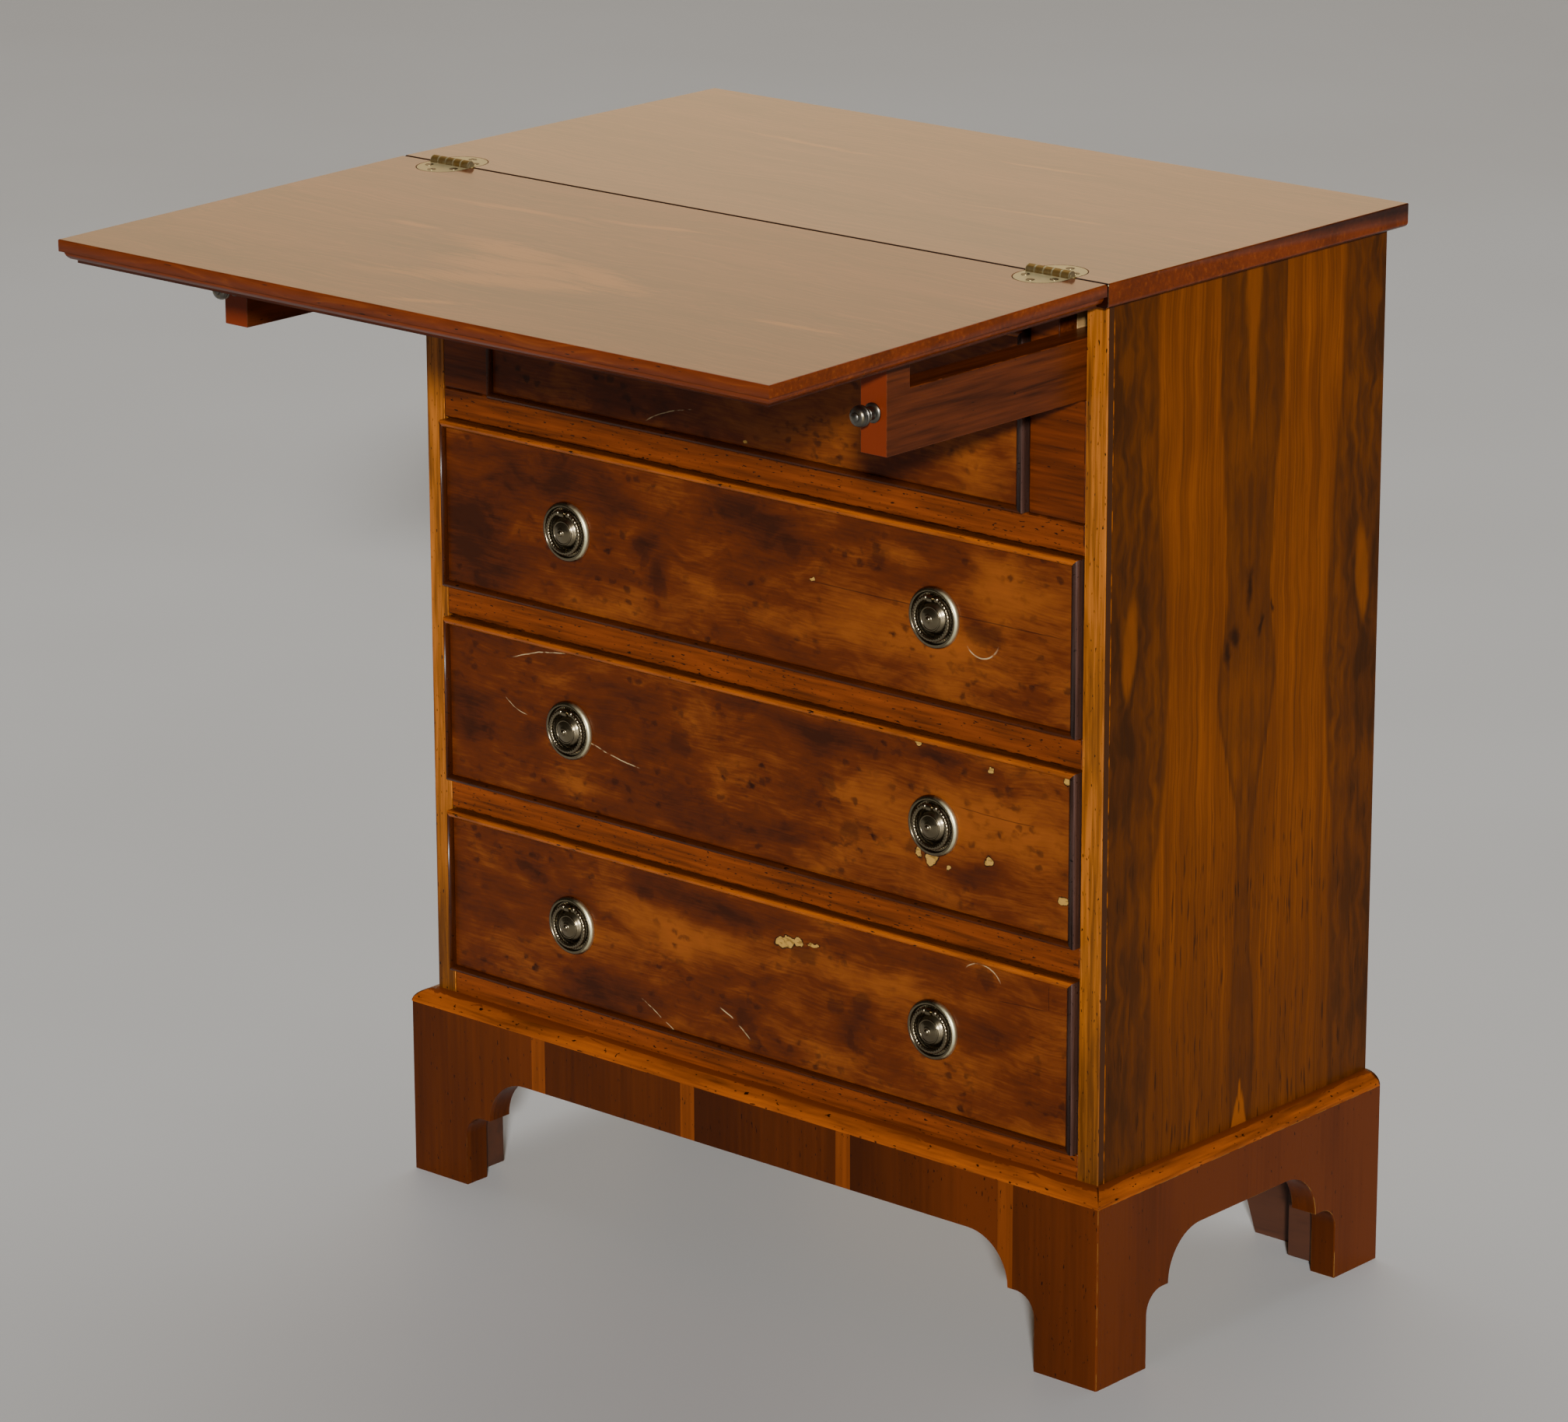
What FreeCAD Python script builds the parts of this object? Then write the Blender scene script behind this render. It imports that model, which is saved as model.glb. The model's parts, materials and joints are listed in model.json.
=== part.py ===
import FreeCAD, Part
import math
import os

# Small four-drawer bachelor's chest with a fold-over top, in millimetres.
# Origin: on the floor, centred in the width, below the seam of the two top leaves.
# +Z is up, -Y is the front, +X is the right-hand side seen from the front.
# The leaf is open and rests on the two drawn lopers; the drawers are shut.

V = FreeCAD.Vector

# Whole chest
carcass_width = 600.0
carcass_depth = 295.0
chest_height = 740.0
drawer_count = 4

# Carcass boards
side_thickness = 17.0
lipping_depth = 6.0
lipping_round = 1.2
back_thickness = 6.0
back_rabbet = 8.0
bottom_thickness = 15.0
housing_depth = 5.0
bottom_rail_height = 27.4
top_rail_height = 24.4
rail_thickness = 21.2
rail_depth = 50.0
runner_width = 20.0
runner_thickness = 16.0
stop_length = 24.0
stop_depth = 30.0
stop_height = 5.0
stop_inset = 70.0

# Plinth on bracket feet
plinth_height = 127.0
plinth_thickness = 20.0
plinth_front_projection = 15.0
plinth_side_projection = 12.5
plinth_moulding_height = 9.5
plinth_corner_round = 1.5
front_foot_width = 52.5
rear_foot_width = 48.5
foot_straight = 37.5
foot_small_arc = 16.0
foot_cusp = 7.0
foot_large_arc = 34.0
rear_bracket_thickness = 16.0
rear_bracket_foot = 72.0
rear_bracket_top = 115.0
corner_block_width = 25.0
corner_block_lift = 3.0

# Fixed top and leaf
top_thickness = 16.0
top_side_overhang = 7.0
top_front_overhang = 10.0
top_rear_overhang = 13.0
top_arris = 0.8
top_under_round = 3.0
seam_gap = 1.0
leaf_droop_deg = 1.06
leaf_edge_face = 8.0
leaf_edge_quirk = 2.5
leaf_edge_ovolo = 6.0

# Inlaid hinges of the leaf
hinge_inset = 46.0
hinge_knuckles = 5
hinge_knuckle_length = 35.0
hinge_knuckle_radius = 3.4
hinge_knuckle_gap = 0.2
hinge_axis_rise = 0.8
hinge_pin_radius = 1.5
hinge_pin_clearance = 0.05
hinge_plate_width = 38.0
hinge_plate_depth = 27.0
hinge_plate_thickness = 2.0
hinge_inlay_clearance = 0.3
hinge_notch_clearance = 0.4

# Lopers, their surrounds and guides
loper_surround_width = 46.0
loper_surround_thickness = 18.0
loper_slot_width = 22.0
loper_slot_height = 64.0
loper_side_clearance = 0.5
loper_floor_clearance = 0.3
loper_floor_thickness = 15.0
loper_length = 275.0
loper_body_height = 40.0
loper_head_length = 22.0
loper_leaf_clearance = 0.3
loper_left_out = 205.0
loper_right_out = 193.0
loper_round = 0.6
knob_height = 27.0
knob_length = 19.0
knob_radius = 6.8
knob_drum_length = 5.0
knob_dome_height = 2.2
knob_button_radius = 3.2
knob_button_height = 1.4
knob_flange_radius = 6.4
knob_flange_thickness = 2.2
knob_neck_radius = 3.6
knob_bead_radius = 1.1
knob_tenon_radius = 2.4
knob_tenon_length = 14.0
knob_tenon_clearance = 0.05

# Drawers
drawer_gap_under = 0.3
drawer_gap_over = 1.2
drawer_gap_side = 0.8
drawer_length = 275.0
front_thickness = 20.0
field_proud = 4.0
bead_width = 4.5
bead_proud = 7.5
bead_seat = 8.0
bead_mitre_gap = 0.1
drawer_side_thickness = 9.0
drawer_side_drop = 6.0
drawer_back_thickness = 9.0
drawer_bottom_thickness = 6.0
drawer_bottom_rise = 8.0
drawer_groove = 4.0
tail_count = 3
tail_length = 12.0
tail_flare = 2.5
tail_share = 0.58

# Ring pulls
pull_inset = 119.5
plate_radius = 21.0
plate_rim = 1.5
plate_dish = 1.5
boss_radius = 9.5
boss_height = 5.2
button_radius = 2.6
button_height = 1.9
lug_width = 4.4
lug_radius = 2.7
post_radius = 2.5
post_clearance = 0.1
post_reach = 8.0
ring_radius = 14.2
ring_wire = 1.75
ring_ball = 2.3
ring_pin = 1.2
ring_pin_clearance = 0.08
ring_plate_clearance = 0.4
ring_gap_deg = 20.0

# Overrun of every cut past the face that it opens, and the tolerance for picking edges
overrun = 5.0
near = 0.001

# Places worked out from the sizes above
front_y = top_front_overhang
rear_y = front_y + carcass_depth
inner_rear_y = rear_y - back_thickness
top_depth = rear_y + top_rear_overhang
half_width = carcass_width / 2
half_opening = half_width - side_thickness
half_top = half_width + top_side_overhang
carcass_top = chest_height - top_thickness
half_drawer_1 = half_opening - loper_surround_width
half_plinth = half_width + plinth_side_projection
plinth_front_y = front_y - plinth_front_projection
lowest_opening = plinth_height + bottom_rail_height
rows_height = carcass_top - top_rail_height - lowest_opening - (drawer_count - 1) * rail_thickness
opening_height = rows_height / drawer_count
hinge_axis_z = chest_height + hinge_axis_rise
half_hinge = half_top - hinge_inset
slot_floor_z = carcass_top - loper_slot_height
half_slot = half_opening - loper_slot_width
field_y = front_y - field_proud
front_rear_y = field_y + front_thickness
half_pull = half_opening - pull_inset
ring_height = plate_dish + ring_ball + ring_plate_clearance
ring_pivot_rise = ring_radius * math.cos(math.radians(ring_gap_deg))
diagonal_share = math.sqrt(0.5)


def box(x0, y0, z0, x1, y1, z1):
    """Upright block between two corners."""
    return Part.makeBox(x1 - x0, y1 - y0, z1 - z0, V(x0, y0, z0))


def rod(start, direction, radius, length):
    """Round bar from a start point along a direction."""
    return Part.makeCylinder(radius, length, start, direction)


def line(a, b):
    return Part.LineSegment(a, b).toShape()


def arc(a, b, c):
    return Part.Arc(a, b, c).toShape()


def prism(edges, run):
    """Closed outline of edges, pushed along the vector run."""
    return Part.Face(Part.Wire(edges)).extrude(run)


def polygon(points, run):
    """Straight-sided outline through points, pushed along the vector run."""
    closed = points + [points[0]]
    return Part.Face(Part.makePolygon(closed)).extrude(run)


def mirrored(shape):
    """Copy of a right-hand piece for the left-hand side."""
    return shape.mirror(V(0, 0, 0), V(1, 0, 0))


def group(solids):
    return Part.makeCompound(solids)


def rounded(shape, radius, test):
    """Shape with each edge whose middle passes the test rounded."""
    edges = [edge for edge in shape.Edges if test(edge.CenterOfMass)]
    return shape.makeFillet(radius, edges)


def at(value, place):
    return abs(value - place) < near


def opening_bottom(row):
    """Height of the rail top under drawer number row, counted from the top."""
    return lowest_opening + (drawer_count - row) * (opening_height + rail_thickness)


def half_drawer_opening(row):
    """Half the width of the opening: the lopers flank the top drawer."""
    return half_drawer_1 if row == 1 else half_opening


def carcass_side():
    """Right side board, rabbeted for the back and housed for the bottom."""
    board = box(half_opening, front_y + lipping_depth, plinth_height, half_width, rear_y, carcass_top)
    rabbet = box(half_opening - overrun, inner_rear_y, plinth_height - overrun,
                 half_opening + back_rabbet, rear_y + overrun, carcass_top + overrun)
    housing = box(half_opening - overrun, front_y + rail_depth, lowest_opening - bottom_thickness,
                  half_opening + housing_depth, inner_rear_y + overrun, lowest_opening)
    return board.cut(rabbet).cut(housing)


def front_lipping():
    """Strip on the front edge of the right side, its outer arris worn round."""
    strip = box(half_opening, front_y, plinth_height, half_width, front_y + lipping_depth, carcass_top)
    return rounded(strip, lipping_round, lambda c: at(c.x, half_width) and at(c.y, front_y))


def back_panel():
    half = half_opening + back_rabbet
    return box(-half, inner_rear_y, plinth_height, half, rear_y, carcass_top)


def carcass_bottom():
    half = half_opening + housing_depth
    return box(-half, front_y + rail_depth, lowest_opening - bottom_thickness,
               half, inner_rear_y, lowest_opening)


def bottom_rail():
    return box(-half_opening, front_y, plinth_height, half_opening, front_y + rail_depth, lowest_opening)


def drawer_rail(row):
    """Rail under drawer number row."""
    top = opening_bottom(row)
    return box(-half_opening, front_y, top - rail_thickness, half_opening, front_y + rail_depth, top)


def top_rail(start_y):
    return box(-half_drawer_1, start_y, carcass_top - top_rail_height,
               half_drawer_1, start_y + rail_depth, carcass_top)


def drawer_runner(row):
    """Right runner of a drawer; the top one also carries the loper guide."""
    top = opening_bottom(row)
    inner = half_drawer_opening(row) - runner_width
    return box(inner, front_y + rail_depth, top - runner_thickness, half_opening, inner_rear_y, top)


def drawer_stop(row):
    """Right block that the back of a drawer front meets when the drawer is shut."""
    outer = half_drawer_opening(row) - stop_inset
    base = opening_bottom(row)
    start = front_rear_y + drawer_gap_under
    end = min(start + stop_depth, front_y + rail_depth)
    return box(outer - stop_length, start, base, outer, end, base + stop_height)


def loper_surround():
    """Right fixed panel beside the top drawer, notched at its outer corner for the loper."""
    base = opening_bottom(1)
    panel = box(half_drawer_1, front_y, base, half_opening, front_y + loper_surround_thickness, carcass_top)
    notch = box(half_slot, front_y - overrun, slot_floor_z,
                half_opening + overrun, front_y + loper_surround_thickness + overrun, carcass_top + overrun)
    return panel.cut(notch)


def loper_guide():
    """Right partition and floor, in one angle section, that the loper slides on."""
    start = front_y + loper_surround_thickness
    base = opening_bottom(1)
    wall = box(half_drawer_1, start, base, half_slot, inner_rear_y, carcass_top)
    floor = box(half_slot, start, slot_floor_z - loper_floor_thickness,
                half_opening, inner_rear_y, slot_floor_z)
    return wall.fuse(floor).removeSplitter()


def foot_steps(edge, inward):
    """Points of one bracket foot's inner outline, from the floor up to the apron."""
    quarter = diagonal_share
    waist = edge + inward * foot_small_arc
    cusp = waist + inward * foot_cusp
    shoulder = cusp + inward * foot_large_arc
    step = foot_straight + foot_small_arc
    apron = step + foot_large_arc
    small_mid = (waist - inward * foot_small_arc * quarter, foot_straight + foot_small_arc * quarter)
    large_mid = (shoulder - inward * foot_large_arc * quarter, step + foot_large_arc * quarter)
    return [(edge, -overrun), (edge, foot_straight), small_mid, (waist, step),
            (cusp, step), large_mid, (shoulder, apron)]


def bracket_gap(place, start, end, run):
    """Cutter for the gap between two bracket feet; place turns along and up into a point."""
    a = [place(*point) for point in foot_steps(start, 1)]
    b = [place(*point) for point in foot_steps(end, -1)]
    edges = [line(a[0], a[1]), arc(a[1], a[2], a[3]), line(a[3], a[4]), arc(a[4], a[5], a[6])]
    edges += [line(a[6], b[6]), arc(b[6], b[5], b[4]), line(b[4], b[3]), arc(b[3], b[2], b[1])]
    edges += [line(b[1], b[0]), line(b[0], a[0])]
    return prism(edges, run)


def plinth_plan():
    """Outer block of the plinth, its two front corners worn round."""
    block = box(-half_plinth, plinth_front_y, 0, half_plinth, rear_y, plinth_height)
    return rounded(block, plinth_corner_round, lambda c: at(abs(c.x), half_plinth) and at(c.y, plinth_front_y)
                   and at(c.z, plinth_height / 2))


def plinth_front():
    """Front board on two bracket feet, mitred to the side boards."""
    back_y = plinth_front_y + plinth_thickness
    board = polygon([V(-half_plinth, plinth_front_y, 0), V(half_plinth, plinth_front_y, 0),
                     V(half_plinth - plinth_thickness, back_y, 0),
                     V(plinth_thickness - half_plinth, back_y, 0)], V(0, 0, plinth_height))
    gap = bracket_gap(lambda s, z: V(s, plinth_front_y - overrun, z),
                      front_foot_width - half_plinth, half_plinth - front_foot_width,
                      V(0, plinth_thickness + overrun + overrun, 0))
    return board.cut(gap).common(plinth_plan())


def plinth_side():
    """Right side board on two bracket feet."""
    inner = half_plinth - plinth_thickness
    board = polygon([V(half_plinth, plinth_front_y, 0), V(half_plinth, rear_y, 0), V(inner, rear_y, 0),
                     V(inner, plinth_front_y + plinth_thickness, 0)], V(0, 0, plinth_height))
    gap = bracket_gap(lambda s, z: V(inner - overrun, s, z),
                      plinth_front_y + front_foot_width, rear_y - rear_foot_width,
                      V(plinth_thickness + overrun + overrun, 0, 0))
    return board.cut(gap).common(plinth_plan())


def moulding_profile(place, reach):
    """Quarter-ellipse ovolo that covers the ledge between plinth and carcass, as a list of edges."""
    corner = place(0, 0)
    outer = place(reach, 0)
    top = place(0, plinth_moulding_height)
    ovolo = Part.BezierCurve()
    ovolo.setPoles([outer, place(reach, plinth_moulding_height), top])
    ovolo.setWeight(2, diagonal_share)
    return [line(corner, outer), ovolo.toShape(), line(top, corner)]


def front_moulding():
    """Front strip, cut to its mitres."""
    strip = prism(moulding_profile(lambda d, z: V(-half_plinth, front_y - d, plinth_height + z),
                                   plinth_front_projection), V(half_plinth + half_plinth, 0, 0))
    plan = polygon([V(-half_plinth, plinth_front_y, 0), V(half_plinth, plinth_front_y, 0),
                    V(half_width, front_y, 0), V(-half_width, front_y, 0)], V(0, 0, chest_height))
    return strip.common(plan)


def side_moulding():
    """Right strip, mitred at the front."""
    strip = prism(moulding_profile(lambda d, z: V(half_width + d, plinth_front_y, plinth_height + z),
                                   plinth_side_projection), V(0, rear_y - plinth_front_y, 0))
    plan = polygon([V(half_plinth, plinth_front_y, 0), V(half_plinth, rear_y, 0),
                    V(half_width, rear_y, 0), V(half_width, front_y, 0)], V(0, 0, chest_height))
    return strip.common(plan)


def rear_foot_bracket():
    """Right back board of the plinth, cut on the slant."""
    outer = half_plinth - plinth_thickness
    start = rear_y - rear_bracket_thickness
    return polygon([V(outer, start, 0), V(outer, start, plinth_height),
                    V(outer - rear_bracket_top, start, plinth_height),
                    V(outer - rear_bracket_foot, start, 0)], V(0, rear_bracket_thickness, 0))


def corner_block(start_y):
    """Right glue block in a corner of the plinth."""
    outer = half_plinth - plinth_thickness
    return box(outer - corner_block_width, start_y, corner_block_lift,
               outer, start_y + corner_block_width, plinth_height)


def hinge_span(index):
    """Ends of one knuckle along the right-hand hinge."""
    pitch = hinge_knuckle_length / hinge_knuckles
    start = half_hinge - hinge_knuckle_length / 2 + index * pitch
    return start + hinge_knuckle_gap / 2, start + pitch - hinge_knuckle_gap / 2


def hinge_rod(start, end, radius):
    """Bar on the hinge axis between two places along X."""
    return rod(V(start, 0, hinge_axis_z), V(1, 0, 0), radius, end - start)


def hinge_leaf_outline(way, clearance, depth):
    """Flat round-ended plate on one side of the seam; way is -1 to the front, 1 to the rear."""
    half = hinge_plate_width / 2
    straight = way * (hinge_plate_depth - half)
    base = chest_height - depth
    reach = half + clearance
    a, b = V(half_hinge - reach, 0, base), V(half_hinge + reach, 0, base)
    c, d = V(half_hinge + reach, straight, base), V(half_hinge - reach, straight, base)
    tip = V(half_hinge, straight + way * reach, base)
    return prism([line(a, b), line(b, c), arc(c, tip, d), line(d, a)], V(0, 0, depth))


def hinge_plate(way, first):
    """Right hinge plate with every second knuckle, starting at number first."""
    plate = hinge_leaf_outline(way, 0, hinge_plate_thickness)
    own = [hinge_span(k) for k in range(first, hinge_knuckles, 2)]
    other = [hinge_span(k) for k in range(1 - first, hinge_knuckles, 2)]
    room = hinge_knuckle_radius + hinge_notch_clearance
    edge_strip = box(half_hinge - hinge_plate_width, -seam_gap / 2, 0,
                     half_hinge + hinge_plate_width, seam_gap / 2, chest_height + overrun)
    plate = plate.cut(edge_strip)
    for start, end in other:
        plate = plate.cut(hinge_rod(start - hinge_knuckle_gap, end + hinge_knuckle_gap, room))
    plate = plate.fuse([hinge_rod(start, end, hinge_knuckle_radius) for start, end in own])
    bore = hinge_rod(half_hinge - hinge_knuckle_length, half_hinge + hinge_knuckle_length,
                     hinge_pin_radius + hinge_pin_clearance)
    return plate.cut(bore).removeSplitter()


def hinge_pin():
    return hinge_rod(half_hinge - hinge_knuckle_length / 2, half_hinge + hinge_knuckle_length / 2,
                     hinge_pin_radius)


def hinge_seats(way):
    """Cutters for both hinges in one top board: the plate's inlay and the knuckle's notch."""
    inlay = hinge_leaf_outline(way, hinge_inlay_clearance, hinge_plate_thickness)
    inlay = inlay.fuse(inlay.translated(V(0, 0, hinge_plate_thickness)))
    half_notch = hinge_knuckle_length / 2 + hinge_notch_clearance
    notch = hinge_rod(half_hinge - half_notch, half_hinge + half_notch,
                      hinge_knuckle_radius + hinge_notch_clearance)
    return [inlay, notch, mirrored(inlay), mirrored(notch)]


def top_fixed():
    """Rear half of the top, square at the seam and rounded under its other edges."""
    board = box(-half_top, seam_gap / 2, carcass_top, half_top, top_depth, chest_height)
    outer = lambda c: at(abs(c.x), half_top) or at(c.y, top_depth)
    board = rounded(board, top_under_round, lambda c: outer(c) and at(c.z, carcass_top))
    board = rounded(board, top_arris, lambda c: outer(c) and at(c.z, chest_height))
    return board.cut(hinge_seats(1))


def edge_cutter(place, run):
    """Waste under the leaf's edge moulding: a flat face, a quirk and an ovolo."""
    step = leaf_edge_face + leaf_edge_ovolo
    inset = leaf_edge_quirk + leaf_edge_ovolo
    bulge = leaf_edge_ovolo * diagonal_share
    p = [place(-overrun, leaf_edge_face), place(leaf_edge_quirk, leaf_edge_face),
         place(inset - bulge, leaf_edge_face + bulge), place(inset, step),
         place(inset, top_thickness + overrun), place(-overrun, top_thickness + overrun)]
    return prism([line(p[0], p[1]), arc(p[1], p[2], p[3]), line(p[3], p[4]),
                  line(p[4], p[5]), line(p[5], p[0])], run)


def drooped(shape):
    """Shape of the leaf turned down about the hinge pins onto the lopers."""
    turned = shape.copy()
    turned.rotate(V(0, 0, hinge_axis_z), V(1, 0, 0), leaf_droop_deg)
    return turned


def top_leaf():
    """Front half of the top, opened forward, with its moulded edge on three sides."""
    board = box(-half_top, -top_depth, carcass_top, half_top, -seam_gap / 2, chest_height)
    outer = lambda c: at(abs(c.x), half_top) or at(c.y, -top_depth)
    board = rounded(board, top_arris, lambda c: outer(c) and at(c.z, chest_height))
    front = edge_cutter(lambda d, t: V(-half_top - overrun, d - top_depth, chest_height - t),
                        V(half_top + half_top + overrun + overrun, 0, 0))
    side = edge_cutter(lambda d, t: V(half_top - d, -top_depth - overrun, chest_height - t),
                       V(0, top_depth + overrun + overrun, 0))
    return drooped(board.cut([front, side, mirrored(side)] + hinge_seats(-1)))


def leaf_underside(y):
    """Height of the open leaf's lower face above a place in front of the hinge."""
    droop = math.radians(leaf_droop_deg)
    return hinge_axis_z + y * math.tan(droop) - (hinge_axis_rise + top_thickness) / math.cos(droop)


def loper(out):
    """Right loper, drawn out by out: a bar with a raised head that meets the leaf."""
    start = front_y - out
    furthest = front_y - max(loper_left_out, loper_right_out)
    x0 = half_slot + loper_side_clearance
    x1 = half_opening - loper_side_clearance
    base = slot_floor_z + loper_floor_clearance
    bar = box(x0, start, base, x1, start + loper_length, base + loper_body_height)
    head = box(x0, start, base, x1, start + loper_head_length,
               leaf_underside(furthest) - loper_leaf_clearance)
    shape = bar.fuse(head).removeSplitter()
    shape = rounded(shape, loper_round, lambda c: at(c.y, start) and (at(c.x, x0) or at(c.x, x1)))
    seat = loper_knob_axis(1, start)
    return shape.cut(rod(seat, V(0, 1, 0), knob_tenon_radius + knob_tenon_clearance, knob_tenon_length))


def loper_knob_axis(side, start):
    """Centre of the knob on a loper's front face; side is -1 for left, 1 for right."""
    middle = (half_slot + half_opening) / 2
    return V(side * middle, start, slot_floor_z + knob_height)


def loper_knob(side, out):
    """Turned metal knob: flange, beaded neck and domed drum, on a tenon in the loper's head."""
    seat = loper_knob_axis(side, front_y - out)
    forward = V(0, -1, 0)
    button_seat = seat + forward * (knob_length - knob_button_height)
    dome_seat = button_seat - forward * knob_dome_height
    drum_seat = dome_seat - forward * knob_drum_length
    neck_length = (drum_seat - seat).Length
    flange = rod(seat, forward, knob_flange_radius, knob_flange_thickness)
    neck = rod(seat, forward, knob_neck_radius, neck_length)
    bead = Part.makeTorus(knob_neck_radius, knob_bead_radius,
                          seat + forward * ((knob_flange_thickness + neck_length) / 2), forward)
    drum = rod(drum_seat, forward, knob_radius, knob_drum_length)
    stem = rod(dome_seat, forward, knob_button_radius, knob_dome_height)
    button = dome(button_seat, knob_button_radius, knob_button_height)
    tenon = rod(seat, V(0, 1, 0), knob_tenon_radius, knob_tenon_length)
    head = drum.fuse([dome(dome_seat, knob_radius, knob_dome_height), stem, button])
    return head.fuse([bead, neck, flange, tenon]).removeSplitter()


def drawer_sizes(row):
    """Half width, bottom and top of a drawer in its opening."""
    half = half_drawer_opening(row) - drawer_gap_side
    bottom = opening_bottom(row) + drawer_gap_under
    top = opening_bottom(row) + opening_height - drawer_gap_over
    return half, bottom, top


def pull_centre(row, side):
    """Centre of a pull on the drawer's veneered field; side is -1 for left, 1 for right."""
    half, bottom, top = drawer_sizes(row)
    return V(side * half_pull, field_y, (bottom + top) / 2)


def drawer_tails(row):
    """Dovetails at the front end of the right drawer side."""
    half, bottom, top = drawer_sizes(row)
    pitch = (top - drawer_side_drop - bottom) / tail_count
    root = pitch * tail_share / 2
    start = front_rear_y - tail_length
    inner = half - drawer_side_thickness
    tails = []
    for k in range(tail_count):
        middle = bottom + (k + 1 / 2) * pitch
        tip = root + tail_flare
        tails.append(polygon([V(inner, front_rear_y, middle - root), V(inner, front_rear_y, middle + root),
                              V(inner, start, middle + tip), V(inner, start, middle - tip)],
                             V(drawer_side_thickness, 0, 0)))
    return tails


def drawer_bottom(row):
    """Thin panel held in grooves, under the drawer's back."""
    half, bottom, top = drawer_sizes(row)
    reach = half - drawer_side_thickness + drawer_groove
    base = bottom + drawer_bottom_rise
    return box(-reach, front_rear_y - drawer_groove, base,
               reach, front_y + drawer_length, base + drawer_bottom_thickness)


def drawer_front(row):
    """Front board, rebated for the cockbead, socketed for the tails and bored for the pulls."""
    half, bottom, top = drawer_sizes(row)
    board = box(-half, field_y, bottom, half, front_rear_y, top)
    rebate = box(-half - overrun, field_y - overrun, bottom - overrun,
                 half + overrun, field_y + bead_seat, top + overrun)
    field = box(bead_width - half, field_y - overrun, bottom + bead_width,
                half - bead_width, field_y + bead_seat, top - bead_width)
    tails = drawer_tails(row)
    cutters = [rebate.cut(field), drawer_bottom(row)] + tails + [mirrored(tail) for tail in tails]
    for side in (-1, 1):
        cutters.append(rod(pull_centre(row, side), V(0, 1, 0), post_radius + post_clearance,
                           front_thickness + overrun))
    return board.cut(cutters)


def bead_strip(a, b, inward):
    """Mitred strip with a round nose along one edge of a drawer front, from a to b."""
    along = (b - a).normalize()
    depth = V(0, field_y + bead_seat - (front_y - bead_proud) - bead_width / 2, 0)
    nose_y = V(0, front_y - bead_proud + bead_width / 2 - a.y, 0)
    p0 = a + nose_y
    p1 = p0 + inward * bead_width
    nose = p0 + inward * (bead_width / 2) - V(0, bead_width / 2, 0)
    strip = prism([arc(p0, nose, p1), line(p1, p1 + depth), line(p1 + depth, p0 + depth),
                   line(p0 + depth, p0)], b - a)
    first, last = a + along * (bead_mitre_gap / 2), b - along * (bead_mitre_gap / 2)
    wedge = [first, last, last + (inward - along) * bead_width, first + (inward + along) * bead_width]
    start = V(0, front_y - bead_proud - overrun - a.y, 0)
    return strip.common(polygon([point + start for point in wedge],
                                V(0, bead_proud + bead_seat + overrun + overrun, 0)))


def drawer_cockbead(row):
    """Four mitred beads round the edge of a drawer front."""
    half, bottom, top = drawer_sizes(row)
    corners = [V(-half, 0, bottom), V(half, 0, bottom), V(half, 0, top), V(-half, 0, top)]
    inward = [V(0, 0, 1), V(-1, 0, 0), V(0, 0, -1), V(1, 0, 0)]
    ends = corners[1:] + corners[:1]
    return group([bead_strip(a, b, way) for a, b, way in zip(corners, ends, inward)])


def drawer_sides(row):
    """Pair of drawer sides, each with its tails and a groove for the bottom."""
    half, bottom, top = drawer_sizes(row)
    side = box(half - drawer_side_thickness, front_rear_y, bottom,
               half, front_y + drawer_length, top - drawer_side_drop)
    side = side.fuse(drawer_tails(row)).removeSplitter().cut(drawer_bottom(row))
    return group([mirrored(side), side])


def drawer_back(row):
    """Back board between the sides, standing on the bottom."""
    half, bottom, top = drawer_sizes(row)
    inner = half - drawer_side_thickness
    rear = front_y + drawer_length
    base = bottom + drawer_bottom_rise + drawer_bottom_thickness
    return box(-inner, rear - drawer_back_thickness, base, inner, rear, top - drawer_side_drop)


def dome(centre, radius, height):
    """Round cap of a given rim radius and height, standing out to the front of a centre."""
    ball = (radius * radius + height * height) / (height + height)
    sphere = Part.makeSphere(ball, centre + V(0, ball - height, 0))
    return sphere.common(rod(centre, V(0, -1, 0), radius, height + overrun))


def pull_plate(centre):
    """Cast plate with a rolled rim, a domed boss, a lug for the ring and a post through the front."""
    forward = V(0, -1, 0)
    disc = rod(centre, forward, plate_radius, plate_dish)
    dish_face = centre + forward * plate_dish
    rim = Part.makeTorus(plate_radius - plate_rim, plate_rim, dish_face, forward)
    rim = rim.common(rod(dish_face, forward, plate_radius + overrun, plate_rim + overrun))
    boss = dome(dish_face, boss_radius, boss_height)
    stem = rod(dish_face, forward, button_radius, boss_height)
    button = dome(dish_face + forward * boss_height, button_radius, button_height)
    plate = disc.fuse([rim, boss, stem, button])
    pivot = centre + V(-lug_width / 2, -ring_height, ring_pivot_rise)
    ear = rod(pivot, V(1, 0, 0), lug_radius, lug_width)
    foot = box(pivot.x, pivot.y, pivot.z - lug_radius, pivot.x + lug_width, centre.y, pivot.z + lug_radius)
    post = rod(centre, V(0, 1, 0), post_radius, front_thickness + post_reach)
    eye = rod(pivot - V(overrun, 0, 0), V(1, 0, 0), ring_pin + ring_pin_clearance,
              lug_width + overrun + overrun)
    return plate.fuse([ear, foot, post]).cut(eye).removeSplitter()


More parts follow.
